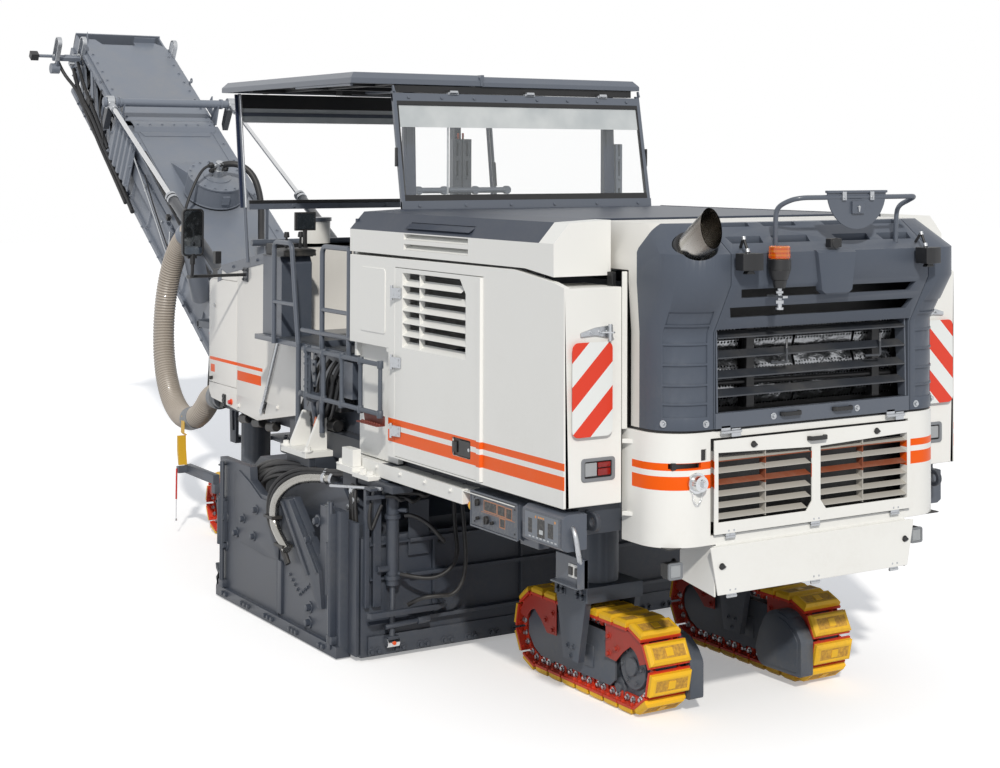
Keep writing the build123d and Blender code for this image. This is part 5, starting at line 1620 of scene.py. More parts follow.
# Operator platform: a welded floor with raised studs against slipping, on a box that carries the sleeves of
# the canopy posts. Slate grey paint, worn through to dull steel on the studs.
tread, tree, shader, place = finish_of("studded_floor_plate", "#3f444c", 0.5)
weathered(tree, shader, place, paint("#3f444c"), "#837b6e", 0.8, 0.5)
# Studs of 8 mm at 30 mm, drawn as they are.
studs = add(tree, "VectorMath", {"operation": "SCALE"}, n0=place, Scale=1000 / 30)
cells = add(tree, "TexVoronoi", {"feature": "F1"}, Vector=studs.outputs[0], Scale=1.0, Randomness=0.0)
stud = stretched(tree, cells.outputs["Distance"], 0.10, 0.22, 1.0, 0.0)
bumped(shader, stud, 0.7, 0.004)
deck = shape_of("operator_platform")
for x in (2990, 3560):
    block(deck, (x, x + 8), (-1470, 1470), (2060, 2110))
bolts(
    deck, [(x, side * 1300, z) for x in (3000, 3560, 4080) for z in (1500, 1960) for side in (1, -1)],
    (0, 1, 0), 24,
)
for x, y in ((3320, 900), (3320, -900), (4230, 0)):
    block(deck, about(x, 66), about(y, 52), (3010, 3050))
piece("platform_floor_and_sleeves", deck, slate_sheet, "machine", "dark_steel", "operator_platform", edge=4)
mats = bmesh.new()
for low, high in ((-1470, -60), (60, 1470)):
    panel(mats, "z", (3030, 4440), (low, high), 2060, 2066, corner=30)
piece("platform_tread_plates", mats, tread, "machine", "dark_steel", edge=1.5)

# Operator stations: a folded dash across the front, consoles under moulded armrests, and two displays on
# stalks. Slate grey sheet with black nylon controls.
desk = bmesh.new()
plate(desk, "y", ((4600, 2060), (4600, 2690), (4700, 2840), (4860, 2840), (4860, 2060)), -620, 620)
for side in (1, -1):
    plate(
        desk, "y", ((4480, 2060), (4480, 2640), (4520, 2700), (4860, 2700), (4860, 2060)),
        *span(side, 1160, 1420),
    )
recess = bmesh.new()
for low, high in ((-560, -220), (-160, 160), (220, 560)):
    plate(recess, "y", ((4560, 2550), (4700, 2850), (4680, 2860), (4530, 2560)), low, high)
    block(recess, (4590, 4612), (low, high), (2140, 2500))
desk = combine(desk, recess)
for y in range(-540, 600, 180):
    shaft(desk, "x", (y, 2330), (4608, 4600), 9, sides=6)
piece("dash_and_consoles", desk, slate_sheet, "machine", "dark_steel", "operator_stations", edge=8, steps=3)
controls = bmesh.new()
for low, high in ((-560, -220), (-160, 160), (220, 560)):
    for k in range(4):
        block(controls, (4636, 4656), (low + 30 + 74 * k, low + 70 + 74 * k), (2690, 2720))
for side in (1, -1):
    for y in (1230, 1350):
        rod(controls, (4560, side * y, 2760), (4550, side * y, 2850), 13, taper=0.7)
        rod(controls, (4550, side * y, 2846), (4548, side * y, 2890), 24, taper=0.8)
    block(controls, (4700, 4850), span(side, 1180, 1400), (2700, 2790))
    shaft(controls, "z", (4760, side * 1100), (2700, 2900), 18)
    block(controls, (4744, 4776), span(side, 1010, 1190), (2890, 3040))
block(controls, (4720, 4740), (-180, 180), (2840, 2990))
piece("station_controls", controls, black_nylon, "machine", "black_plastic", edge=5)
glass, tree, shader, place = finish_of("display_glass", "#10151a", 0.06)
shader.inputs["Coat Weight"].default_value = 0.6
smear = add(tree, "TexNoise", Vector=place, Scale=30.0, Detail=4.0)
wire(shader, "Roughness", stretched(tree, smear.outputs["Fac"], 0.3, 0.8, 0.04, 0.3))
wire(shader, "Base Color", mixed(tree, smear.outputs["Fac"], "#10151a", "#2b3238"))
panes = bmesh.new()
for side in (1, -1):
    block(panes, (4740, 4745), span(side, 1022, 1178), (2902, 3028))
block(panes, (4714, 4721), (-166, 166), (2854, 2978))
piece("station_displays", panes, glass, "machine", "black_plastic", edge=2)

# Armrests and seats: moulded foam under black vinyl. Each pad is crowned, with a sewn seam round its edge
# and two channels across it, on a folded steel pan.


def upholstered(name, x, y, z, face, channels=(0.33, 0.66)):
    """A crowned pad filling a box of stations; face is the axis that its crown faces."""
    bm = bmesh.new()
    block(bm, x, y, z)
    bmesh.ops.subdivide_edges(bm, edges=bm.edges[:], cuts=11, use_grid_fill=True)
    low, high = at(x[0], y[0], z[0]), at(x[1], y[1], z[1])
    size, middle = high - low, (low + high) / 2
    up = "xyz".index(face)
    others = [k for k in range(3) if k != up]
    for vert in bm.verts:
        t = [(vert.co[k] - middle[k]) / (size[k] / 2) for k in range(3)]
        round_off = math.prod(max(0.0, 1 - abs(t[k]) ** 5) ** 0.5 for k in others)
        if t[up] > -0.9:
            crown = 1 if t[up] < 0 else 0.55 + 0.45 * round_off
            vert.co[up] = middle[up] + size[up] / 2 * (t[up] * crown)
        for k in others:
            pull_in = 1 - 0.05 * (1 - (t[up] * 0.8) ** 2) * (abs(t[k]) > 0.99)
            vert.co[k] = middle[k] + (vert.co[k] - middle[k]) * pull_in
        along = (vert.co[others[0]] - low[others[0]]) / size[others[0]]
        if t[up] > 0.5:
            near = min(abs(along - c) for c in channels)
            vert.co[up] -= 0.007 * max(0.0, 1 - near / 0.05)
    bmesh.ops.smooth_vert(
        bm, verts=bm.verts, factor=0.35, use_axis_x=True, use_axis_y=True, use_axis_z=True,
    )
    made = piece(name, bm, black_vinyl, "machine", "black_plastic", edge=0)
    soft = made.modifiers.new("padding", "SUBSURF")
    soft.levels = soft.render_levels = 2
    return made


black_vinyl, tree, shader, place = finish_of("black_grained_vinyl", "#1a1b1d", 0.5)
shader.inputs["Sheen Weight"].default_value = 0.15
# Grain cells of 1.5 mm, drawn at 5 mm so that they show.
grain = add(tree, "TexVoronoi", {"feature": "DISTANCE_TO_EDGE"}, Vector=place, Scale=200.0)
folds = add(tree, "TexNoise", Vector=place, Scale=14.0, Detail=5.0)
dust = stretched(tree, folds.outputs["Fac"], 0.45, 0.75, 0.0, 0.4)
wire(shader, "Base Color", mixed(tree, dust, "#1a1b1d", "#5d5850"))
bumped(shader, grain.outputs["Distance"], 0.4, 0.0008)
for side, hand in both_sides:
    upholstered(f"{hand}_armrest", (4420, 4690), span(side, 1140, 1430), (2700, 2762), "z", channels=(0.5,))
    upholstered(f"{hand}_seat_cushion", (3484, 3900), span(side, 620, 1060), (2490, 2580), "z")
    upholstered(f"{hand}_seat_back", (3424, 3484), span(side, 620, 1060), (2570, 2980), "x")
pans = bmesh.new()
for side in (1, -1):
    panel(pans, "z", (3490, 3890), (side * 640, side * 1040), 2480, 2494, corner=40)
    shaft(pans, "z", (3680, side * 840), (2060, 2484), 52, sides=32)
    shaft(pans, "z", (3680, side * 840), (2060, 2078), 110, sides=36)
    block(pans, (3420, 3436), span(side, 660, 1020), (2500, 2940))
    block(pans, (4480, 4860), span(side, 1150, 1425), (2692, 2702))
piece("seat_pans_and_posts", pans, dark_paint, "machine", "dark_steel", edge=4)

# Handrails and ladders: bent and welded tube in slate grey. The ladders' rungs are knurled, with a toothed
# step painted rust red at the foot, and amber reflectors beside their brackets.
dress("handrails", slate_paint)
rung_grey, tree, shader, place = finish_of("slate_grey_paint_on_knurled_tube", "#4d545f", 0.42)
weathered(tree, shader, place, paint("#4d545f"), "#8d8577", 0.6, 0.42)
# Knurl of 3 mm, drawn at 14 mm so that it shows.
knurl = add(tree, "TexVoronoi", {"feature": "F1"}, Vector=place, Scale=70.0, Randomness=0.0)
bumped(shader, knurl.outputs["Distance"], 0.5, 0.0025)
step_red = sprayed("rust_red_paint_on_grip_plate", "#6e2a1d", amount=0.5, roughness=0.6, coat=0.0)
amber_lens = lens("amber_acrylic_reflector", "#e06a12", ribs_mm=10.0, through=0.1)
for side, hand in both_sides:
    rungs = shape_of(f"{hand}_ladder")
    for x in range(2300, 3600, 310):
        for z in (1720, 2060):
            shaft(rungs, "z", (x, side * 1620), about(z, 26), 22, sides=14)
    block(rungs, (3500, 3590), span(side, 1600, 1612), (1690, 2090))
    bolts(
        rungs, [(x, side * 1612, z) for x in (3520, 3570) for z in (1780, 1830, 1950, 2000)], (0, side, 0),
        18,
    )
    piece(
        f"{hand}_ladder_frame", rungs, rung_grey, f"ladder_{hand}", "dark_steel", f"{hand}_ladder", edge=2,
    )
    step = bmesh.new()
    plate(step, "y", ((2290, 1640), (2290, 1704), (2620, 1704), (2600, 1640)), *span(side, 1586, 1592))
    panel(step, "z", (2290, 2610), (side * 1586, side * 1652), 1636, 1644)
    for k in range(8):
        shaft(step, "z", (2310 + 38 * k, side * 1620), (1642, 1654), 13, sides=8, taper=0.6)
    piece(f"{hand}_grip_step", step, step_red, f"ladder_{hand}", "dark_steel", edge=1.5)
brackets = bmesh.new()
block(brackets, (3620, 3760), (1500, 1512), (1760, 1960))
block(brackets, (3560, 3900), (1470, 1482), (1560, 1680))
rod(brackets, (3650, 1490, 1480), (3640, 1560, 1900), 20)
shaft(brackets, "z", (3960, 1500), (1300, 2060), 20)
shaft(brackets, "z", (3520, 1500), (1430, 2060), 20)
shaft(brackets, "x", (1500, 2170), (2970, 3890), 19)
block(brackets, (3080, 3240), (1320, 1460), (1720, 1990))
bolts(brackets, [(x, 1512, z) for x in (3645, 3735) for z in (1790, 1860, 1930)], (0, 1, 0), 18)
piece("ladder_brackets", mirrored(brackets), slate_sheet, "machine", "dark_steel", edge=4)
amber_plates = bmesh.new()
panel(amber_plates, "y", (3600, 3660), (1450, 1540), 1500, 1510, corner=10)
piece("amber_reflectors", mirrored(amber_plates), amber_lens, "machine", "pane", edge=3)
boxes = bmesh.new()
block(boxes, (3300, 3560), (1340, 1450), (1600, 1800))
block(boxes, (3700, 3950), (1340, 1440), (1500, 1720))
shaft(boxes, "x", (1400, 1480), (3450, 3900), 46, sides=20)
for x in (3340, 3420, 3500):
    shaft(boxes, "z", (x, 1430), (1800, 1860), 20, sides=10)
piece("valve_blocks", mirrored(boxes), black_nylon, "machine", "black_plastic", edge=5)
for number in range(6):
    x = 3260 + 110 * number
    for side, hand in both_sides:
        tube(
            f"{hand}_valve_hose_{number + 1}",
            (
                (x, side * 1400, 1960), (x + 30, side * 1455, 1880),
                (x + 60, side * (1480 - 12 * (number % 3)), 1700), (x + 150, side * 1470, 1560),
                (x + 290, side * 1430, 1520), (x + 330, side * 1380, 1460),
            ), 15 + 3 * (number % 2), hose_black, "machine", "hose_plastic",
        )

# Canopy roof: two overlapping glass-fibre shells with rolled rims, sprayed slate grey above and dark below,
# with lamps, a drip lip and stiffeners underneath.


def put_in(bm, part):
    """Adds a separate shape to another as it is."""
    mesh = bpy.data.meshes.new("work")
    part.to_mesh(mesh)
    part.free()
    bm.from_mesh(mesh)
    bpy.data.meshes.remove(mesh)


roof_paint = sprayed("slate_grey_gelcoat_on_roof", "#5c636f", dust="#98948b", amount=0.35, roughness=0.3)
roof = bmesh.new()
for x, y, low, high in (((3170, 5750), (-1120, 340), 4030, 4110), ((3176, 5740), (330, 1440), 4034, 4120)):
    shell = bmesh.new()
    block(shell, x, y, (low, high))
    top = [f for f in shell.faces if f.normal.z > 0.9]
    bmesh.ops.inset_region(shell, faces=top, thickness=0.055, depth=0.0)
    rim = [
        v for v in shell.verts
        if v.co.z > at(0, 0, high - 1).z and v not in {w for f in top for w in f.verts}
    ]
    bmesh.ops.translate(shell, verts=rim, vec=(0, 0, -0.045))
    hollow = bmesh.new()
    block(hollow, (x[0] + 26, x[1] - 26), (y[0] + 26, y[1] - 26), (low - 20, low + 34))
    shell = combine(shell, hollow)
    put_in(roof, shell)
plate(roof, "x", ((322, 4034), (322, 4122), (350, 4122), (360, 4100), (350, 4034)), 3170, 5746)
for x in (3650, 4400, 5150):
    panel(roof, "x", (-1000, 300), (4104, 4112), x, x + 46)
plate(roof, "y", ((4200, 4034), (4200, 4020), (3200, 4016), (3200, 4034)), 1412, 1436)
piece("canopy_shells", roof, roof_paint, "canopy", "grey_paint", "canopy_roof", edge=9, steps=3)
lining = bmesh.new()
block(lining, (3210, 5710), (-1080, 1400), (4056, 4062))
for x in (3500, 4350, 5200):
    block(lining, (x, x + 50), (-1060, 1380), (4026, 4058))
for y in (-700, 250, 1050):
    block(lining, (3230, 5690), (y, y + 40), (4030, 4058))
for x in (3420, 4900):
    for y in (-450, 620):
        block(lining, (x, x + 130), (y, y + 90), (4006, 4050))
piece("canopy_lining", lining, black_nylon, "canopy", "black_plastic", edge=5)

# Canopy frame: telescoping posts in deep blue with slotted grey outer channels, the raked rear screen frame
# with bolted bars and black seals, a locking bar, and two thin tubes at the front.
post_blue = sprayed("deep_blue_paint_on_posts", "#1b2740", dust="#8d877d", amount=0.3, roughness=0.35)


def visor(z):
    """Station of the raked front tubes at a height."""
    return 5480 + (z - 2600) * 0.15


def raked(bm, low, high, half, across):
    """A strip along those tubes between two heights, so thick to each side, over a span of the width."""
    corners = ((low, -half), (low, half), (high, half), (high, -half))
    plate(bm, "y", [(visor(z) + off, z) for z, off in corners], *across)


posts = bmesh.new()
for x, y in ((3320, 900), (3320, -900), (4230, 0)):
    block(posts, about(x, 45), about(y, 30), (2320, 4030))
for side in (1, -1):
    plate(posts, "y", ((3262, 3060), (3276, 3060), (3330, 3990), (3300, 3990)), *about(side * 900, 50))
for y in (1330, -1106):
    raked(posts, 3060, 4024, 8, about(y, 14))
piece("canopy_posts", posts, post_blue, "canopy", "grey_paint", "canopy_frame", edge=5)
bars = bmesh.new()
rake = ((2982, 3096), (3012, 3096), (3192, 3985), (3162, 3985))
for side in (1, -1):
    plate(bars, "y", rake, *about(side * 1095, 15))
for y in (1300, -1140):
    rod(bars, (visor(2600), y, 2600), (visor(4027), y, 4027), 15, sides=18)
for x, low, high in ((4105, -84, -2), (4105, 6, 88), (3262, -1015, -955)):
    channel = bmesh.new()
    block(channel, (x, x + 60), (low, high), (3052, 3640) if x > 4000 else (3060, 3600))
    holes = bmesh.new()
    for foot in (3120, 3340, 3500):
        block(holes, (x - 10, x + 30), about((low + high) / 2, 9), (foot, foot + 120))
    channel = combine(channel, holes)
    put_in(bars, channel)
    bolts(
        bars, [(x, (low + high) / 2, z) for z in (3085, 3318, 3625 if x > 4000 else 3480)], (-1, 0, 0), 16,
    )
block(bars, (4170, 4290), (-50, 50), (3905, 3960))
plate(bars, "y", ((2978, 3088), (3008, 3082), (3016, 3160), (2986, 3166)), -1110, 1110)
plate(bars, "y", ((3148, 3908), (3178, 3902), (3190, 3964), (3160, 3970)), -1110, 1110)
raked(bars, 3838, 3870, 14, (-1130, 1290))
for side in (1, -1):
    plate(bars, "y", ((3140, 3980), (3170, 3975), (3180, 4022), (3160, 4026)), *about(side * 1102, 6))
shaft(bars, "y", (3296, 3236), (50, 840), 22, sides=18)
for y in (50, 330, 600, 820):
    shaft(bars, "x", (y, 3236), (3276, 3316), 32, sides=18)
bolts(bars, [(2990, y, 3128) for y in range(-980, 1000, 390)], (-0.98, 0, 0.2), 22)
bolts(bars, [(3160, y, 3936) for y in range(-980, 1000, 280)], (-0.98, 0, 0.2), 22)
piece("screen_frames", bars, roof_paint, "canopy", "grey_paint", edge=4)
seals = bmesh.new()
plate(seals, "y", ((2990, 3160), (3010, 3156), (3022, 3206), (3004, 3210)), -1080, 1080)
plate(seals, "y", ((3140, 3880), (3158, 3876), (3166, 3908), (3148, 3912)), -1080, 1080)
plate(seals, "y", ((3190, 3975), (3270, 3975), (3270, 4030), (3190, 4030)), -1050, 1050)
raked(seals, 3905, 4026, 6, (-1120, 1280))
for side in (1, -1):
    plate(seals, "y", ((3000, 3150), (3016, 3146), (3162, 3886), (3146, 3890)), *about(side * 1074, 8))
    block(seals, (3060, 3090), span(side, 1112, 1124), (3420, 3560))
shaft(seals, "x", (-1100, 3240), (5520, 5480), 9)
rod(seals, (5480, -1100, 3230), (5506, -1100, 3440), 10)
shaft(seals, "x", (-1100, 3440), (5546, 5506), 9)
piece("screen_seals", seals, black_nylon, "canopy", "black_plastic", edge=2)
clasps = bmesh.new()
for y in (600, -75, -750):
    block(clasps, (3150, 3186), about(y, 44), (3964, 3984))
    shaft(clasps, "y", (3150, 3982), about(y, 34), 15)
shaft(clasps, "z", (3200, 620), (3110, 3960), 8)
rod(clasps, (visor(3060) - 24, 1300, 3060), (visor(4020) - 24, 1300, 4020), 9, sides=14)
piece("screen_clasps", clasps, zinc_plate, "canopy", "chrome", edge=2)
hooks = bmesh.new()
for y in (-20, 24):
    block(hooks, (4132, 4142), about(y, 8), (3560, 3690))
piece("post_flags", hooks, orange_cap, "canopy", "board", edge=2)
lower_bar = bmesh.new()
block(lower_bar, (5546, 5578), (-1100, 1262), (3044, 3092))
for y in (-1000, 1100):
    block(lower_bar, (5550, 5574), about(y, 14), (2610, 3060))
bolts(lower_bar, [(5546, y, 3068) for y in range(-900, 1300, 440)], (-1, 0, 0), 20)
piece("front_sill_bar", lower_bar, roof_paint, "machine", "grey_paint", edge=4)
lower_bar = bmesh.new()
block(lower_bar, (5550, 5574), (-1096, 1258), (3092, 3122))
piece("front_sill_seal", lower_bar, black_nylon, "machine", "black_plastic", edge=3)

# Screens: clear laminated panes with a pale translucent sun band along their tops, left bare.
screen, tree, shader, place = finish_of("laminated_screen_with_band", "#d7dcde", 0.05)
axes = add(tree, "SeparateXYZ", Vector=place)
rear = inside(tree, axes.outputs["Z"], 3714, 3900)
front = inside(tree, axes.outputs["Z"], 3784, 4040)
ahead_of = worked_out(tree, "GREATER_THAN", axes.outputs["X"], tower_back + 5.0)
band = add(tree, "Mix", {"data_type": "FLOAT"}, n0=ahead_of, n2=rear, n3=front).outputs[0]
cloud = add(tree, "TexNoise", Vector=place, Scale=3.0, Detail=3.0)
tone = stretched(tree, cloud.outputs["Fac"], 0.35, 0.65)
wire(shader, "Base Color", mixed(tree, band, "#e8eef0", mixed(tree, tone, "#b9bfc2", "#d3d7d8")))
wire(shader, "Alpha", stretched(tree, band, 0.0, 1.0, 0.07, 0.93))
wire(shader, "Roughness", stretched(tree, band, 0.0, 1.0, 0.03, 0.4))
panes = bmesh.new()
plate(panes, "y", ((2992, 3125), (2998, 3125), (3160, 3902), (3154, 3902)), -1080, 1080)
raked(panes, 3780, 3908, 3, (-1120, 1280))
piece("canopy_panes", panes, screen, "canopy", "pane", "canopy_screens", edge=0)

# Discharge conveyor: a long sloping box of folded sheet that carries the belt, closed by two bolted covers,
# open between its chords near the head. Slate grey, dusty, and lighter than the machine where the sun lies.
luff_x, luff_z = 7460, 1476
slope = Matrix.Rotation(math.radians(-31), 4, "Y")
boom_place = Matrix.Translation(at(luff_x, 0, luff_z)) @ slope @ Matrix.Translation(-at(0, 0, 0))


def on_boom(bm):
    """A shape built level, from the cross axis forward, carried to the slope of the conveyor."""
    bmesh.ops.transform(bm, matrix=boom_place, verts=bm.verts)
    return bm


conveyor_grey = sprayed(
    "slate_grey_paint_on_folded_sheet", "#747b87", dust="#a39b8c", amount=0.5, roughness=0.38, coat=0.0,
)
sides = bmesh.new()
side_edge = (
    (-350, -300), (-350, 10), (-100, 70), (290, 140), (320, 200), (6459, 200), (6459, -240), (6159, -240),
    (6159, -420), (300, -420), (300, -300),
)
plate(sides, "y", side_edge, 500, 520)
bays = bmesh.new()
for start in (4560, 5060, 5560):
    plate(bays, "y", ((start + 50, 120), (start + 440, 120), (start + 50, -300)), 480, 560, corner=24)
    plate(bays, "y", ((start + 490, 70), (start + 490, -340), (start + 110, -340)), 480, 560, corner=24)
sides = combine(sides, bays)
block(sides, (4330, 6159), (520, 556), (150, 196))
block(sides, (300, 6159), (520, 548), (-430, -380))
for start in range(520, 4500, 620):
    plate(sides, "z", ((start, 518), (start + 10, 536), (start + 50, 536), (start + 60, 518)), -380, 150)
for start in (300, 2270):
    block(sides, (start, start + 1900), (520, 560), (-110, 60))
    block(sides, (start + 40, start + 1860), (556, 564), (-96, 46))
bolts(sides, [(x, 536, z) for x in range(546, 4500, 620) for z in (-340, 110)], (0, 1, 0), 22)
bolts(sides, [(x, 548, -405) for x in range(420, 6100, 300)], (0, 1, 0), 22)
bolts(sides, [(x, 556, 173) for x in range(4420, 6150, 240)], (0, 1, 0), 20)
block(sides, (6319, 6452), (520, 545), (-200, 20))
shaft(sides, "y", (6010, -102), (500, 590), 86, sides=32)
shaft(sides, "y", (6010, -102), (588, 604), 46, sides=24)
bolts(
    sides, [(6010 + 68 * math.cos(a), 590, -102 + 68 * math.sin(a)) for a in (0.8, 2.4, 3.9, 5.5)],
    (0, 1, 0), 20,
)
sides = mirrored(sides)
block(sides, (300, 6159), (-500, 500), (-440, -420))
block(sides, (6439, 6459), (-520, 520), (60, 220))
piece(
    "conveyor_sides", on_boom(sides), conveyor_grey, "discharge_conveyor", "conveyor_paint",
    "conveyor_frame", edge=4,
)

covers = bmesh.new()
panel(covers, "z", (880, 4240), (-545, 545), 208, 216)
for side in (1, -1):
    block(covers, (880, 4240), span(side, 540, 548), (120, 216))
    block(covers, (4330, 6120), span(side, 500, 508), (160, 226))
    block(covers, (1000, 4200), span(side, 430, 442), (216, 224))
head = (
    (4330, -505), (4330, 505), (6110, 505), (6290, 440), (6290, 330), (6170, 270), (6170, -130),
    (6250, -130), (6250, -390), (6140, -505),
)
plate(covers, "z", head, 218, 228)
block(covers, (6244, 6252), (-390, -130), (224, 296))
plate(covers, "y", ((6290, 226), (6180, 226), (6290, 330)), 436, 442)
plate(
    covers, "y",
    (
        (4330, 222), (4300, 250), (4210, 268), (4130, 268), (4090, 218), (4100, 214), (4136, 258),
        (4206, 258), (4290, 240), (4320, 214),
    ), -470, 470,
)
plate(covers, "z", ((4090, -410), (4090, 410), (4000, 380), (4000, -380)), 216, 224)
plate(covers, "y", ((2900, 214), (2900, 400), (3440, 216)), -290, 250)
bolts(covers, [(x, side * 488, 216) for x in range(960, 4200, 360) for side in (1, -1)], (0, 0, 1), 24)
bolts(covers, [(x, side * 462, 228) for x in range(4420, 6100, 210) for side in (1, -1)], (0, 0, 1), 22)
bolts(covers, [(4170, y, 268) for y in range(-420, 421, 140)], (0, 0, 1), 20)
piece("conveyor_covers", on_boom(covers), conveyor_grey, "discharge_conveyor", "conveyor_paint", edge=3)

# Cross tube over the cover, with its hangers and the dark end plates that the stays pull on; the long ribbed
# shield below it covers the hoses on the left.
cross = bmesh.new()
shaft(cross, "y", (4385, 430), (-780, 780), 45, sides=36)
for y in (-760, -590, 590, 640, 760):
    shaft(cross, "y", (4385, 430), about(y, 14), 58, sides=28)
for side in (1, -1):
    plate(
        cross, "y", ((4300, 190), (4470, 190), (4430, 440), (4340, 440)), *about(side * 550, 10), corner=16,
    )
    plate(cross, "y", ((5240, 190), (5300, 190), (5285, 236), (5255, 236)), *about(side * 540, 5))
ring(cross, (5270, -552, 250), (0, 1, 0), 24, 8)
plate(cross, "y", ((4470, 210), (4700, 210), (4600, 420)), -566, -554, corner=10)
plate(cross, "y", ((3600, -260), (3620, 300), (4360, 380), (4420, 300), (4420, -160)), 600, 612)
for start in (3660, 3800, 3940, 4080, 4220):
    plate(cross, "z", ((start, 610), (start + 14, 636), (start + 66, 636), (start + 80, 610)), -230, 290)
bolts(cross, [(x, 612, z) for x in (3640, 4390) for z in (-200, 40, 260)], (0, 1, 0), 24)
piece(
    "cross_tube_and_hangers", on_boom(cross), conveyor_grey, "discharge_conveyor", "conveyor_paint", edge=4,
)
ends = bmesh.new()
for side in (1, -1):
    plate(ends, "y", ((4330, 440), (4440, 440), (4420, 150), (4350, 100)), *about(side * 700, 34))
    plate(ends, "y", ((4470, 60), (4700, 60), (4580, 130)), *about(side * 560, 6))
piece("stay_end_plates", on_boom(ends), dark_paint, "discharge_conveyor", "dark_steel", edge=5)

# Extraction fan on the cover: a round folded housing with a bolted rim over a black ring that is painted
# shade for the gap under it, its motor, and the bow handle beside it. The motor is bright zinc, its fittings
# and hoses black.


def boom_run(*places):
    """Millimetre stations of points given along the conveyor, left of its middle and off its axis."""
    return tuple(tuple((boom_place @ at(*p) - at(0, 0, 0)) * 1000) for p in places)


fan = bmesh.new()
fan_x, fan_radius = 2740, 286
shaft(fan, "z", (fan_x, 0), (236, 462), 304, sides=72)
shaft(fan, "z", (fan_x, 0), (452, 470), 312, sides=72)
shaft(fan, "z", (fan_x, 0), (236, 250), 311, sides=72)
shaft(fan, "z", (fan_x, 0), (470, 478), 150, sides=40)
block(fan, (2420, 2440), (-60, 20), (300, 400))
turns = [k / 16 * math.tau for k in range(16)]
bolts(
    fan, [(fan_x + fan_radius * math.cos(a), fan_radius * math.sin(a), 470) for a in turns], (0, 0, 1), 22,
)
piece("extraction_fan_housing", on_boom(fan), conveyor_grey, "discharge_conveyor", "conveyor_paint", edge=3)
gap = bmesh.new()
# The black ring under the rim is painted shade for the gap between the housing and the cover.
shaft(gap, "z", (fan_x, 0), (214, 238), 296, sides=48)
block(gap, (3300, 3318), (-262, -122), (250, 268))
for y in (-262, -130):
    block(gap, (3300, 3318), (y, y + 14), (214, 262))
for y, z in ((-80, 560), (60, 540), (-40, 610), (90, 600)):
    rod(gap, (fan_x, y, z), (2700, y + 50, z + 20), 20)
    block(gap, (2720, 2770), about(y, 22), about(z, 24))
piece("fan_gap_shade_and_fittings", on_boom(gap), black_nylon, "discharge_conveyor", "black_plastic", edge=4)
motor = bmesh.new()
shaft(motor, "z", (fan_x, 0), (476, 560), 60, sides=32)
shaft(motor, "z", (fan_x, 0), (556, 640), 44, sides=28)
shaft(motor, "y", (fan_x, 600), (-60, 60), 18)
for start in (1250, 3200):
    block(motor, (start, start + 26), (562, 574), (-10, 60))
    block(motor, (start - 10, start + 36), (572, 582), (20, 70))
for start in (480, 2560, 4060):
    shaft(motor, "y", (start, 20), (566, 584), 12)
piece("fan_motor_and_latches", on_boom(motor), zinc_plate, "discharge_conveyor", "chrome", edge=2)
for name, radius, run in (
    (
        "fan_hose_fat", 34,
        (
            (fan_x, -20, 600), (2690, -120, 680), (2540, -300, 640), (2250, -330, 480), (1900, -240, 300),
            (1500, -120, 262), (1200, -60, 262),
        ),
    ),
    (
        "fan_hose_thin", 15,
        (
            (fan_x, 60, 590), (2700, 160, 640), (2560, 300, 560), (2400, 420, 330), (2200, 500, 244),
            (1700, 520, 240), (1200, 520, 240),
        ),
    ),
    (
        "edge_hose_a", 17,
        (
            (3600, 500, 250), (3300, 505, 262), (2900, 520, 270), (2500, 545, 280), (2300, 530, 320),
            (2150, 470, 330), (2050, 470, 250),
        ),
    ),
    (
        "edge_hose_b", 14,
        ((3560, 530, 236), (3300, 530, 244), (2900, 540, 250), (2450, 556, 262), (2000, 550, 236)),
    ),
    (
        "side_hose_a", 24,
        (
            (6050, 600, -60), (5800, 640, -80), (5500, 620, -170), (5100, 600, -190), (4700, 600, -250),
            (4300, 594, -300), (3700, 600, -320), (3300, 620, -330),
        ),
    ),
    (
        "side_hose_b", 20,
        ((6100, 560, 40), (5700, 600, -30), (5300, 590, -90), (4900, 580, -170), (4500, 578, -240)),
    ),
    (
        "side_hose_c", 20,
        (
            (6060, 820, 70), (5950, 760, -60), (5700, 650, -130), (5350, 630, -210), (4950, 620, -260),
            (4600, 620, -300), (4100, 620, -330), (3500, 640, -340),
        ),
    ),
    (
        "side_cable", 7,
        ((5100, 560, 190), (4900, 640, 150), (4700, 660, 60), (4560, 650, -60), (4500, 640, -200)),
    ),
    (
        "panel_cable", 7,
        (
            (3300, 566, 140), (3000, 580, 60), (2500, 590, -40), (2050, 600, -120), (1900, 590, -60),
            (1880, 566, 120),
        ),
    ),
):
    tube(name, boom_run(*run), radius, hose_black, "discharge_conveyor", "hose_plastic")
tube(
    "guard_wire",
    boom_run(
        (4280, 590, 330), (3900, 596, 210), (3000, 600, 40), (2300, 602, -130), (2200, 600, -150),
        (2180, 590, -120), (2300, 575, 60),
    ), 9, zinc_plate, "discharge_conveyor", "chrome",
)

# Head of the conveyor: three bright flat-bar hoops that guard the belt, a lamp on an arm and the end of the
# drive. Bars of zinc-plated steel, lamp of black die-cast aluminium.


def arc_of(centre, radius, degrees):
    """Points on a circle, given as the two coordinates of its plane."""
    turns = [math.radians(a) for a in degrees]
    return [(centre[0] + radius * math.cos(a), centre[1] + radius * math.sin(a)) for a in turns]


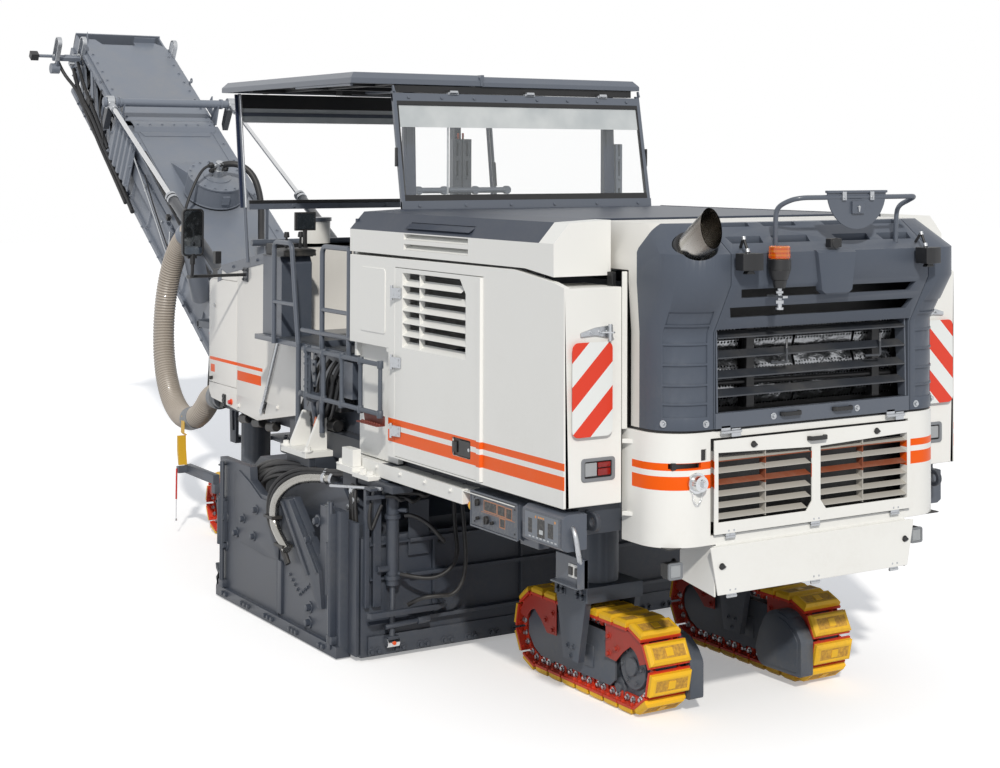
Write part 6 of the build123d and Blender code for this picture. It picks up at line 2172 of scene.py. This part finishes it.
hoops = bmesh.new()
for along, y in ((6010, 560), (5980, 860), (6010, -545)):
    outer = arc_of((along, 318), 74, range(0, 181, 15))
    inner = arc_of((along, 318), 60, range(180, -1, -15))
    feet = [(along - 74, 120), (along - 60, 120)]
    plate(hoops, "y", outer + feet + inner + [(along + 60, 120), (along + 74, 120)], *about(y, 24))
bolts(hoops, [(6010, 584, 150), (6010, -569, 150), (5980, 884, 150)], (0, 1, 0), 26)
for x, y in ((6150, 560), (5960, 640)):
    shaft(hoops, "y", (x, 60), (y, y + 60), 26, sides=20)
piece("head_hoops", on_boom(hoops), zinc_plate, "discharge_conveyor", "chrome", edge=2)
arms = bmesh.new()
shaft(arms, "y", (6080, 90), (520, 1060), 19, sides=16)
block(arms, (5960, 6000), (500, 900), (90, 140))
block(arms, (5940, 6020), (820, 850), (-60, 140))
shaft(arms, "y", (5980, -20), (800, 900), 62, sides=28)
plate(arms, "z", ((6110, 520), (6110, 760), (6180, 700), (6180, 520)), 60, 68)
for start, end in (((6130, 540, 150), (5560, 560, -380)), ((5560, 552, 170), (5100, 560, -380))):
    rod(arms, start, end, 18, sides=14)
piece("head_arms", on_boom(arms), conveyor_grey, "discharge_conveyor", "conveyor_paint", edge=4)
heads = bmesh.new()
block(heads, (6030, 6130), (1040, 1130), (50, 130))
for k in range(4):
    block(heads, (6128, 6140), (1046 + 22 * k, 1056 + 22 * k), (56, 124))
block(heads, (2380, 2440), (560, 600), (140, 190))
block(heads, (5300, 5420), (556, 610), (-140, -60))
piece("head_lamp", on_boom(heads), black_nylon, "discharge_conveyor", "black_plastic", edge=6)

# Belt: rubber with moulded chevron cleats, running on two lagged pulleys.
belt_rubber = moulded("cleated_belt_rubber", "#1b1b1d", 0.72, grain_mm=6.0)
belt = shape_of("conveyor_belt")
for number in range(22):
    start = -180 + number * 280
    cleat = bmesh.new()
    plate(
        cleat, "z",
        (
            (start, 0), (start + 120, 400), (start + 145, 400), (start + 28, 0), (start + 145, -400),
            (start + 120, -400),
        ), 74, 92,
    )
    on_boom(cleat)
    put_in(belt, cleat)
piece("cleated_belt", belt, belt_rubber, "discharge_conveyor", "belt_rubber", "conveyor_belt", edge=0)

# Slew frame and luff cylinders: flame-cut cheeks on a turntable, and two cylinders from their masts to the
# cross tube. The rods are ground chrome, their eyes bright, and the pins carry orange caps.
turntable = shape_of("slew_frame")
turns = [k / 14 * math.tau for k in range(14)]
bolts(turntable, [(7060 + 255 * math.cos(a), 255 * math.sin(a), 820) for a in turns], (0, 0, 1), 30)
for side in (1, -1):
    block(turntable, (7370, 7500), span(side, 560, 620), (820, 840))
    plate(turntable, "y", ((7400, 900), (7430, 1300), (7450, 1300), (7450, 900)), *about(side * 658, 8))
    shaft(turntable, "y", (luff_x, luff_z), (side * 650, side * 668), 78, sides=32)
    turns = (0.5, 1.6, 2.6, 3.7, 4.7, 5.8)
    heads = [(luff_x + 60 * math.cos(a), side * 668, luff_z + 60 * math.sin(a)) for a in turns]
    bolts(turntable, heads, (0, side, 0), 18)
piece("slew_frame_and_cheeks", turntable, frame_grey, "slew", "grey_paint", "slew_frame", edge=5)
barrels = shape_of("luff_barrels")
piece("luff_cylinder_barrels", barrels, dark_paint, "barrels", "dark_steel", "luff_barrels", edge=2)
piece("luff_cylinder_rods", shape_of("luff_rods"), hydraulic, "rods", "chrome", "luff_rods", edge=0)
stay_start, stay_end = Vector((7480, 0, 2300)), Vector(boom_run((4385, 0, 430))[0])
stay = (stay_end - stay_start).normalized()
eyes = bmesh.new()
for y in (705, -705):
    shaft(eyes, "y", (stay_end.x, stay_end.z), about(y, 40), 72, sides=28)
    near = stay_end - stay * 190
    rod(eyes, (stay_end.x - 30 * stay.x, y, stay_end.z - 30 * stay.z), (near.x, y, near.z), 40, sides=24)
piece("stay_eyes", eyes, zinc_plate, "rods", "chrome", edge=3)
caps = bmesh.new()
for y in (745, -745):
    shaft(caps, "y", (stay_end.x - 20, stay_end.z - 20), (y, y + (14 if y > 0 else -14)), 24, sides=20)
piece("stay_pin_caps", caps, orange_cap, "rods", "board", edge=2)
collars = bmesh.new()
for y in (705, -705):
    for share in (1640, 1700):
        a, b = stay_start + stay * share, stay_start + stay * (share + 34)
        rod(collars, (a.x, y, a.z), (b.x, y, b.z), 58, sides=24)
    shaft(collars, "y", (7480, 2300), about(y, 44), 40, sides=24)
piece("luff_cylinder_collars", collars, zinc_plate, "barrels", "chrome", edge=2)

# Front body: two tank sides of bent sheet under a dark cap beam, with doors, a strut in a pressed channel
# and a row of ground-level switches. White enamel with its own two short stripes, their ends left bare.


def nose_stripes(tree, axes):
    """Thin stripe over a thick one, broken at the door."""
    def bars(x_from, x_to, low, high):
        here = inside(tree, axes.outputs["X"], tower_back * 1000 + x_from, tower_back * 1000 + x_to)
        return both_of(tree, here, inside(tree, axes.outputs["Z"], low, high))

    rows = [bars(5390, 6600, 1681, 1709), bars(5420, 5950, 1560, 1642), bars(6480, 6580, 1575, 1642)]
    two = worked_out(tree, "MAXIMUM", rows[0], rows[1])
    rows = worked_out(tree, "MAXIMUM", two, rows[2])
    wide = size_of(tree, axes.outputs["Y"])
    return both_of(tree, rows, worked_out(tree, "GREATER_THAN", wide, 1.190))


nose_enamel = striped_enamel(
    "white_enamel_on_tank_sides", "#e9e7e3", (("#f25a00", nose_stripes),), amount=0.2,
)
nose = shape_of("front_body")
skirt = bmesh.new()
plate(
    skirt, "y",
    ((4700, 1445), (4700, 1397), (5496, 1262), (6560, 1343), (6616, 1400), (6616, 1640), (6300, 1640)),
    1188, 1200,
)
nose = combine(nose, mirrored(skirt), "UNION")
seams = bmesh.new()
block(seams, (5961, 5969), (1188, 1230), (1300, 2520))
block(seams, (5965, 6640), (1188, 1230), (2404, 2411))
block(seams, (5965, 6640), (1188, 1230), (1478, 1485))
block(seams, (6420, 6560), (1150, 1230), (2430, 2500))
plate(seams, "y", ((4830, 2300), (4940, 2300), (5450, 1330), (5340, 1330)), 1180, 1230)
nose = combine(nose, mirrored(seams))
for side in (1, -1):
    spots = ((6480, 2170), (5060, 1420), (4380, 1480), (4380, 1950), (5900, 1340))
    bolts(nose, [(x, side * 1200, z) for x, z in spots], (0, side, 0), 24)
piece("tank_sides", nose, nose_enamel, "machine", "white_paint", "front_body", edge=7)
cap = bmesh.new()
plate(cap, "y", ((4872, 2758), (4872, 2668), (6200, 2466), (6336, 2500), (6336, 2534)), 1126, 1206)
plate(cap, "y", ((6330, 2520), (6330, 2400), (6420, 2380), (6420, 2480)), 1140, 1204)
block(cap, (4890, 5440), (-1130, 1130), (2732, 2752))
cap = mirrored(cap)
for y in (700, -700):
    shaft(cap, "z", (5450, y), (2560, 2610), 150, sides=40)
    shaft(cap, "z", (5450, y), (2940, 2972), 138, sides=40)
for y, x, low, high, r in (
    (880, 6080, 2480, 2700, 92), (-880, 6080, 2480, 2700, 92), (860, 5780, 2560, 2660, 60),
):
    shaft(cap, "z", (x, y), (low, high), r, sides=32)
    shaft(cap, "z", (x, y), (high - 4, high + 20), r * 0.7, sides=24)
shaft(cap, "y", (5512, 2764), (-1090, 1255), 28, sides=20)
for y in (-1000, 0, 1000):
    block(cap, (5496, 5528), about(y, 14), (2600, 2770))
bolts(
    cap,
    [(x, side * 1206, 2745 - 0.1517 * (x - 4880) - 34) for x in (4960, 5500, 6040) for side in (1, -1)],
    (0, 1, 0), 20,
)
piece("cap_beams_and_fillers", cap, slate_paint, "machine", "dark_steel", edge=7)
whites = bmesh.new()
for y in (700, -700):
    shaft(whites, "z", (5450, y), (2600, 2944), 126, sides=40)
shaft(whites, "z", (5780, 860), (2672, 2730), 46, sides=24, taper=0.85)
piece("filter_canisters", whites, white_enamel, "machine", "white_paint", edge=6)
strut = bmesh.new()
for side in (1, -1):
    rod(strut, (4890, side * 1206, 2250), (5392, side * 1206, 1352), 13, sides=18)
    for x, z in ((4890, 2250), (5392, 1352)):
        shaft(strut, "y", (x, z), (side * 1180, side * 1216), 24, sides=20)
    rod(strut, (5350, side * 1206, 1427), (5376, side * 1206, 1380), 18, sides=16)
    for k in range(7):
        rod(
            strut, (5330 - 9 * k, side * 1206, 1463 + 16 * k), (5327 - 9 * k, side * 1206, 1468 + 16 * k),
            17, sides=14,
        )
    shaft(strut, "y", (6480, 2170), (side * 1200, side * 1212), 20, sides=20)
piece("tank_side_struts", strut, zinc_plate, "machine", "chrome", edge=1.5)
switches = bmesh.new()
for k in range(3):
    for j in (0, 1):
        block(switches, (6216 + 34 * j, 6242 + 34 * j), (1198, 1214), (1302 + 34 * k, 1330 + 34 * k))
block(switches, (6208, 6284), (1196, 1206), (1296, 1404))
shaft(switches, "y", (6540, 1520), (1196, 1230), 16)
block(switches, (6426, 6554), (1140, 1196), (2436, 2494))
block(switches, (6440, 6500), (1160, 1216), (2540, 2650))
block(switches, (6460, 6640), (1000, 1130), (1250, 1330))
for k in range(3):
    rod(switches, (5200 + 300 * k, 1150, 1240), (5360 + 300 * k, 1150, 1220), 40, sides=16)
piece("nose_switches", mirrored(switches), black_nylon, "machine", "black_plastic", edge=4)
stops = bmesh.new()
shaft(stops, "y", (6080, 1354), (1198, 1232), 18, sides=24)
piece("nose_stop_buttons", mirrored(stops), signal_red, "machine", "board", edge=4)
stops = bmesh.new()
shaft(stops, "y", (6080, 1354), (1196, 1210), 27, sides=24)
piece("nose_stop_collars", mirrored(stops), orange_cap, "machine", "board", edge=3)

# Loading conveyor: a closed trough of folded plate under the front body, with bolted side ribs.
trough = shape_of("loading_conveyor")
for side in (1, -1):
    for share in (0.15, 0.4, 0.65, 0.9):
        x, z = 4890 + 2100 * share, 340 + 1440 * share
        block(trough, about(x, 20), span(side, 478, 496), about(z, 70))
piece("loading_trough", trough, under_grey, "machine", "dark_steel", "loading_conveyor", edge=4)

# Mirrors at both sides: glass in a rounded black nylon shell, on a bent tube from the front body.
silvered, tree, shader, place = finish_of("silvered_mirror_glass", "#cdd5da", 0.03, 1.0)
dust = add(tree, "TexNoise", Vector=place, Scale=18.0, Detail=5.0)
wire(shader, "Roughness", stretched(tree, dust.outputs["Fac"], 0.4, 0.8, 0.02, 0.22))
wire(shader, "Base Color", mixed(tree, dust.outputs["Fac"], "#d4dbe0", "#b7bec2"))
shells = bmesh.new()
panel(shells, "x", (1648, 1832), (2660, 3056), 5582, 5622, corner=34, steps=5)
hollow = bmesh.new()
panel(hollow, "x", (1662, 1818), (2674, 3042), 5570, 5590, corner=24, steps=5)
shells = combine(shells, hollow)
block(shells, (5600, 5640), (1700, 1780), (2640, 2700))
shaft(shells, "z", (5600, 1740), (2590, 2680), 22)
piece("mirror_shells", mirrored(shells), black_nylon, "machine", "black_plastic", edge=8, steps=3)
panes = bmesh.new()
panel(panes, "x", (1664, 1816), (2676, 3040), 5586, 5592, corner=22, steps=5)
piece("mirror_glass", mirrored(panes), silvered, "machine", "pane", edge=0)
for side, hand in both_sides:
    tube(
        f"{hand}_mirror_arm",
        (
            (5760, side * 1196, 2480), (5760, side * 1300, 2480), (5760, side * 1680, 2480),
            (5750, side * 1736, 2480), (5640, side * 1740, 2480), (5602, side * 1740, 2500),
            (5600, side * 1740, 2600), (5600, side * 1740, 2690),
        ), 14, black_nylon, "machine", "black_plastic",
    )
feet = bmesh.new()
block(feet, (5710, 5810), (1196, 1212), (2420, 2540))
bolts(feet, [(x, 1212, z) for x in (5728, 5792) for z in (2440, 2520)], (0, 1, 0), 18)
piece("mirror_feet", mirrored(feet), dark_paint, "machine", "dark_steel", edge=3)

# Extraction hose from the front body up to the conveyor: a spiral-ribbed polyurethane duct, dusty tan inside
# its grey wall, with a smooth sleeve clamped in its lowest bend.
duct, tree, shader, place = finish_of("ribbed_polyurethane_duct", "#a39a90", 0.42)
rib = add(tree, "Attribute", {"attribute_name": "rib", "attribute_type": "GEOMETRY"}).outputs["Fac"]
cloud = add(tree, "TexNoise", Vector=place, Scale=7.0, Detail=6.0)
base = mixed(tree, cloud.outputs["Fac"], "#bdb4aa", "#a59c91")
# The narrow rings between the ribs are painted darker: painted shade in the grooves.
wire(shader, "Base Color", mixed(tree, rib, "#857c72", base))
shader.inputs["Coat Weight"].default_value = 0.25
stops = (
    (6700, 1080, 1330), (6790, 1080, 1332), (6900, 1080, 1290), (7030, 1080, 1180), (7200, 1078, 1085),
    (7480, 1070, 1020), (7800, 1050, 1050), (8120, 1025, 1200), (8370, 995, 1480), (8480, 965, 1850),
    (8440, 945, 2200), (8300, 930, 2480), (8100, 915, 2680), (7930, 903, 2770),
)
points = route_of(stops)
half = next(i for i, p in enumerate(points) if p.z > 1.30 and p.x > at(8000, 0, 0).x)
lower = piece(
    "extraction_duct_lower", swept(points[: half + 1], 0.030, 0.097, 0.105), duct, None, "hose_plastic",
    "suction_hose", edge=0,
)
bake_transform(lower)
upper = piece(
    "extraction_duct_upper", swept(points[half:], 0.030, 0.097, 0.105), duct, None, "hose_plastic", edge=0,
)
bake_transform(upper)
collars = bmesh.new()
ends = [min(points, key=lambda p: abs(p.x - at(stop, 0, 0).x) + (p.z > 1.6)) for stop in (7250, 7420)]
rod(collars, *[(p - at(0, 0, 0)) * 1000 for p in ends], 109, sides=40)
sleeve = piece("duct_sleeve", collars, grey_plastic, None, "hose_plastic", edge=4)
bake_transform(sleeve)
rim = bmesh.new()
shaft(rim, "x", (1080, 1330), (6640, 6720), 116, sides=40)
shaft(rim, "x", (1080, 1330), (6560, 6650), 98, sides=40)
piece("duct_flange", rim, grey_plastic, "machine", "grey_plastic", edge=5)
rim = bmesh.new()
a, b = [(points[i] - at(0, 0, 0)) * 1000 for i in (-8, -1)]
rod(rim, a, b, 113, sides=40)
rod(rim, b, Vector(boom_run((1100, 620, 60))[0]), 96, sides=32)
piece("duct_end_collar", rim, conveyor_grey, "discharge_conveyor", "conveyor_paint", edge=5)

# Hydraulic couplings in front of the left tank: zinc-plated screw couplings on a plate, their hoses hanging
# in a loop and going on to the conveyor.
couplings = bmesh.new()
block(couplings, (6800, 6990), (1030, 1042), (1930, 1990))
for k in range(5):
    x = 6820 + 38 * k
    shaft(couplings, "z", (x, 1046), (1850 + 18 * (k % 2), 2060 + 26 * (k % 3)), 17, sides=16)
    shaft(couplings, "z", (x, 1046), (1890, 1916), 24, sides=6)
    shaft(couplings, "z", (x, 1046), (2010, 2030), 24, sides=6)
piece("hydraulic_couplings", couplings, zinc_plate, "machine", "chrome", edge=2)
caps = bmesh.new()
for k in range(0, 5, 2):
    shaft(caps, "z", (6820 + 38 * k, 1046), (1866, 1884), 20, sides=16)
piece("coupling_bands", caps, orange_cap, "machine", "board", edge=2)
for k in range(5):
    x = 6820 + 38 * k
    tube(
        f"coupling_hose_{k + 1}",
        (
            (x, 1046, 1860), (x - 4, 1050, 1640), (x - 2 + 6 * k, 1056, 1380 + 30 * (k % 2)),
            (x + 50, 1040, 1330 + 30 * (k % 2)), (x + 90, 990, 1420), (x + 110, 900, 1700),
            (x + 170, 780, 1980), (x + 300, 690, 2180),
        ), 15 if k % 2 else 18, hose_black, "machine", "hose_plastic",
    )
arm = bmesh.new()
block(arm, (6790, 7380), (1000, 1030), (1900, 1960))
block(arm, (7340, 7400), (640, 1030), (1890, 1970))
piece("coupling_bracket", arm, frame_grey, "machine", "grey_paint", edge=4)

# Lifting sling round the hose: flat yellow webbing down to the arm of the front left crawler, with a red
# marker tube hanging from the arm's end. Polyester weave, stitched double at the loop.
webbing, tree, shader, place = finish_of("yellow_polyester_webbing", "#e3b21a", 0.8)
axes = add(tree, "SeparateXYZ", Vector=place)
# Ribs of 2 mm, drawn at 7 mm so that they show.
ribs = worked_out(tree, "PINGPONG", axes.outputs["Z"], 0.0035)
# Across each rib the yellow runs from dark to light: painted shade and highlight on the ribs.
tone = stretched(tree, ribs, 0.0, 0.0035)
wire(shader, "Base Color", mixed(tree, tone, "#b98a10", "#eec02a"))
shader.inputs["Sheen Weight"].default_value = 0.3
bumped(shader, ribs, 0.5, 0.0015)
sling = bmesh.new()
plate(
    sling, "y", ((7300, 905), (7292, 780), (7262, 640), (7292, 640), (7326, 770), (7330, 905)), 1160, 1236,
)
plate(
    sling, "x", ((1160, 905), (1184, 925), (1180, 1080), (1174, 1080), (1176, 930), (1150, 912)), 7296, 7372,
)
sling_piece = piece("yellow_sling", sling, webbing, None, "board", edge=1)
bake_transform(sling_piece)
tag = bmesh.new()
rod(tag, (7280, 1254, 610), (7276, 1258, 330), 8, sides=12)
piece("marker_tube", tag, signal_red, "front_left_crawler", "board", edge=0)
tag = bmesh.new()
shaft(tag, "z", (7276, 1258), (330, 140), 3, sides=8)
shaft(tag, "z", (7276, 1258), (150, 130), 9, sides=8)
piece("marker_chain", tag, zinc_plate, "front_left_crawler", "chrome", edge=0)
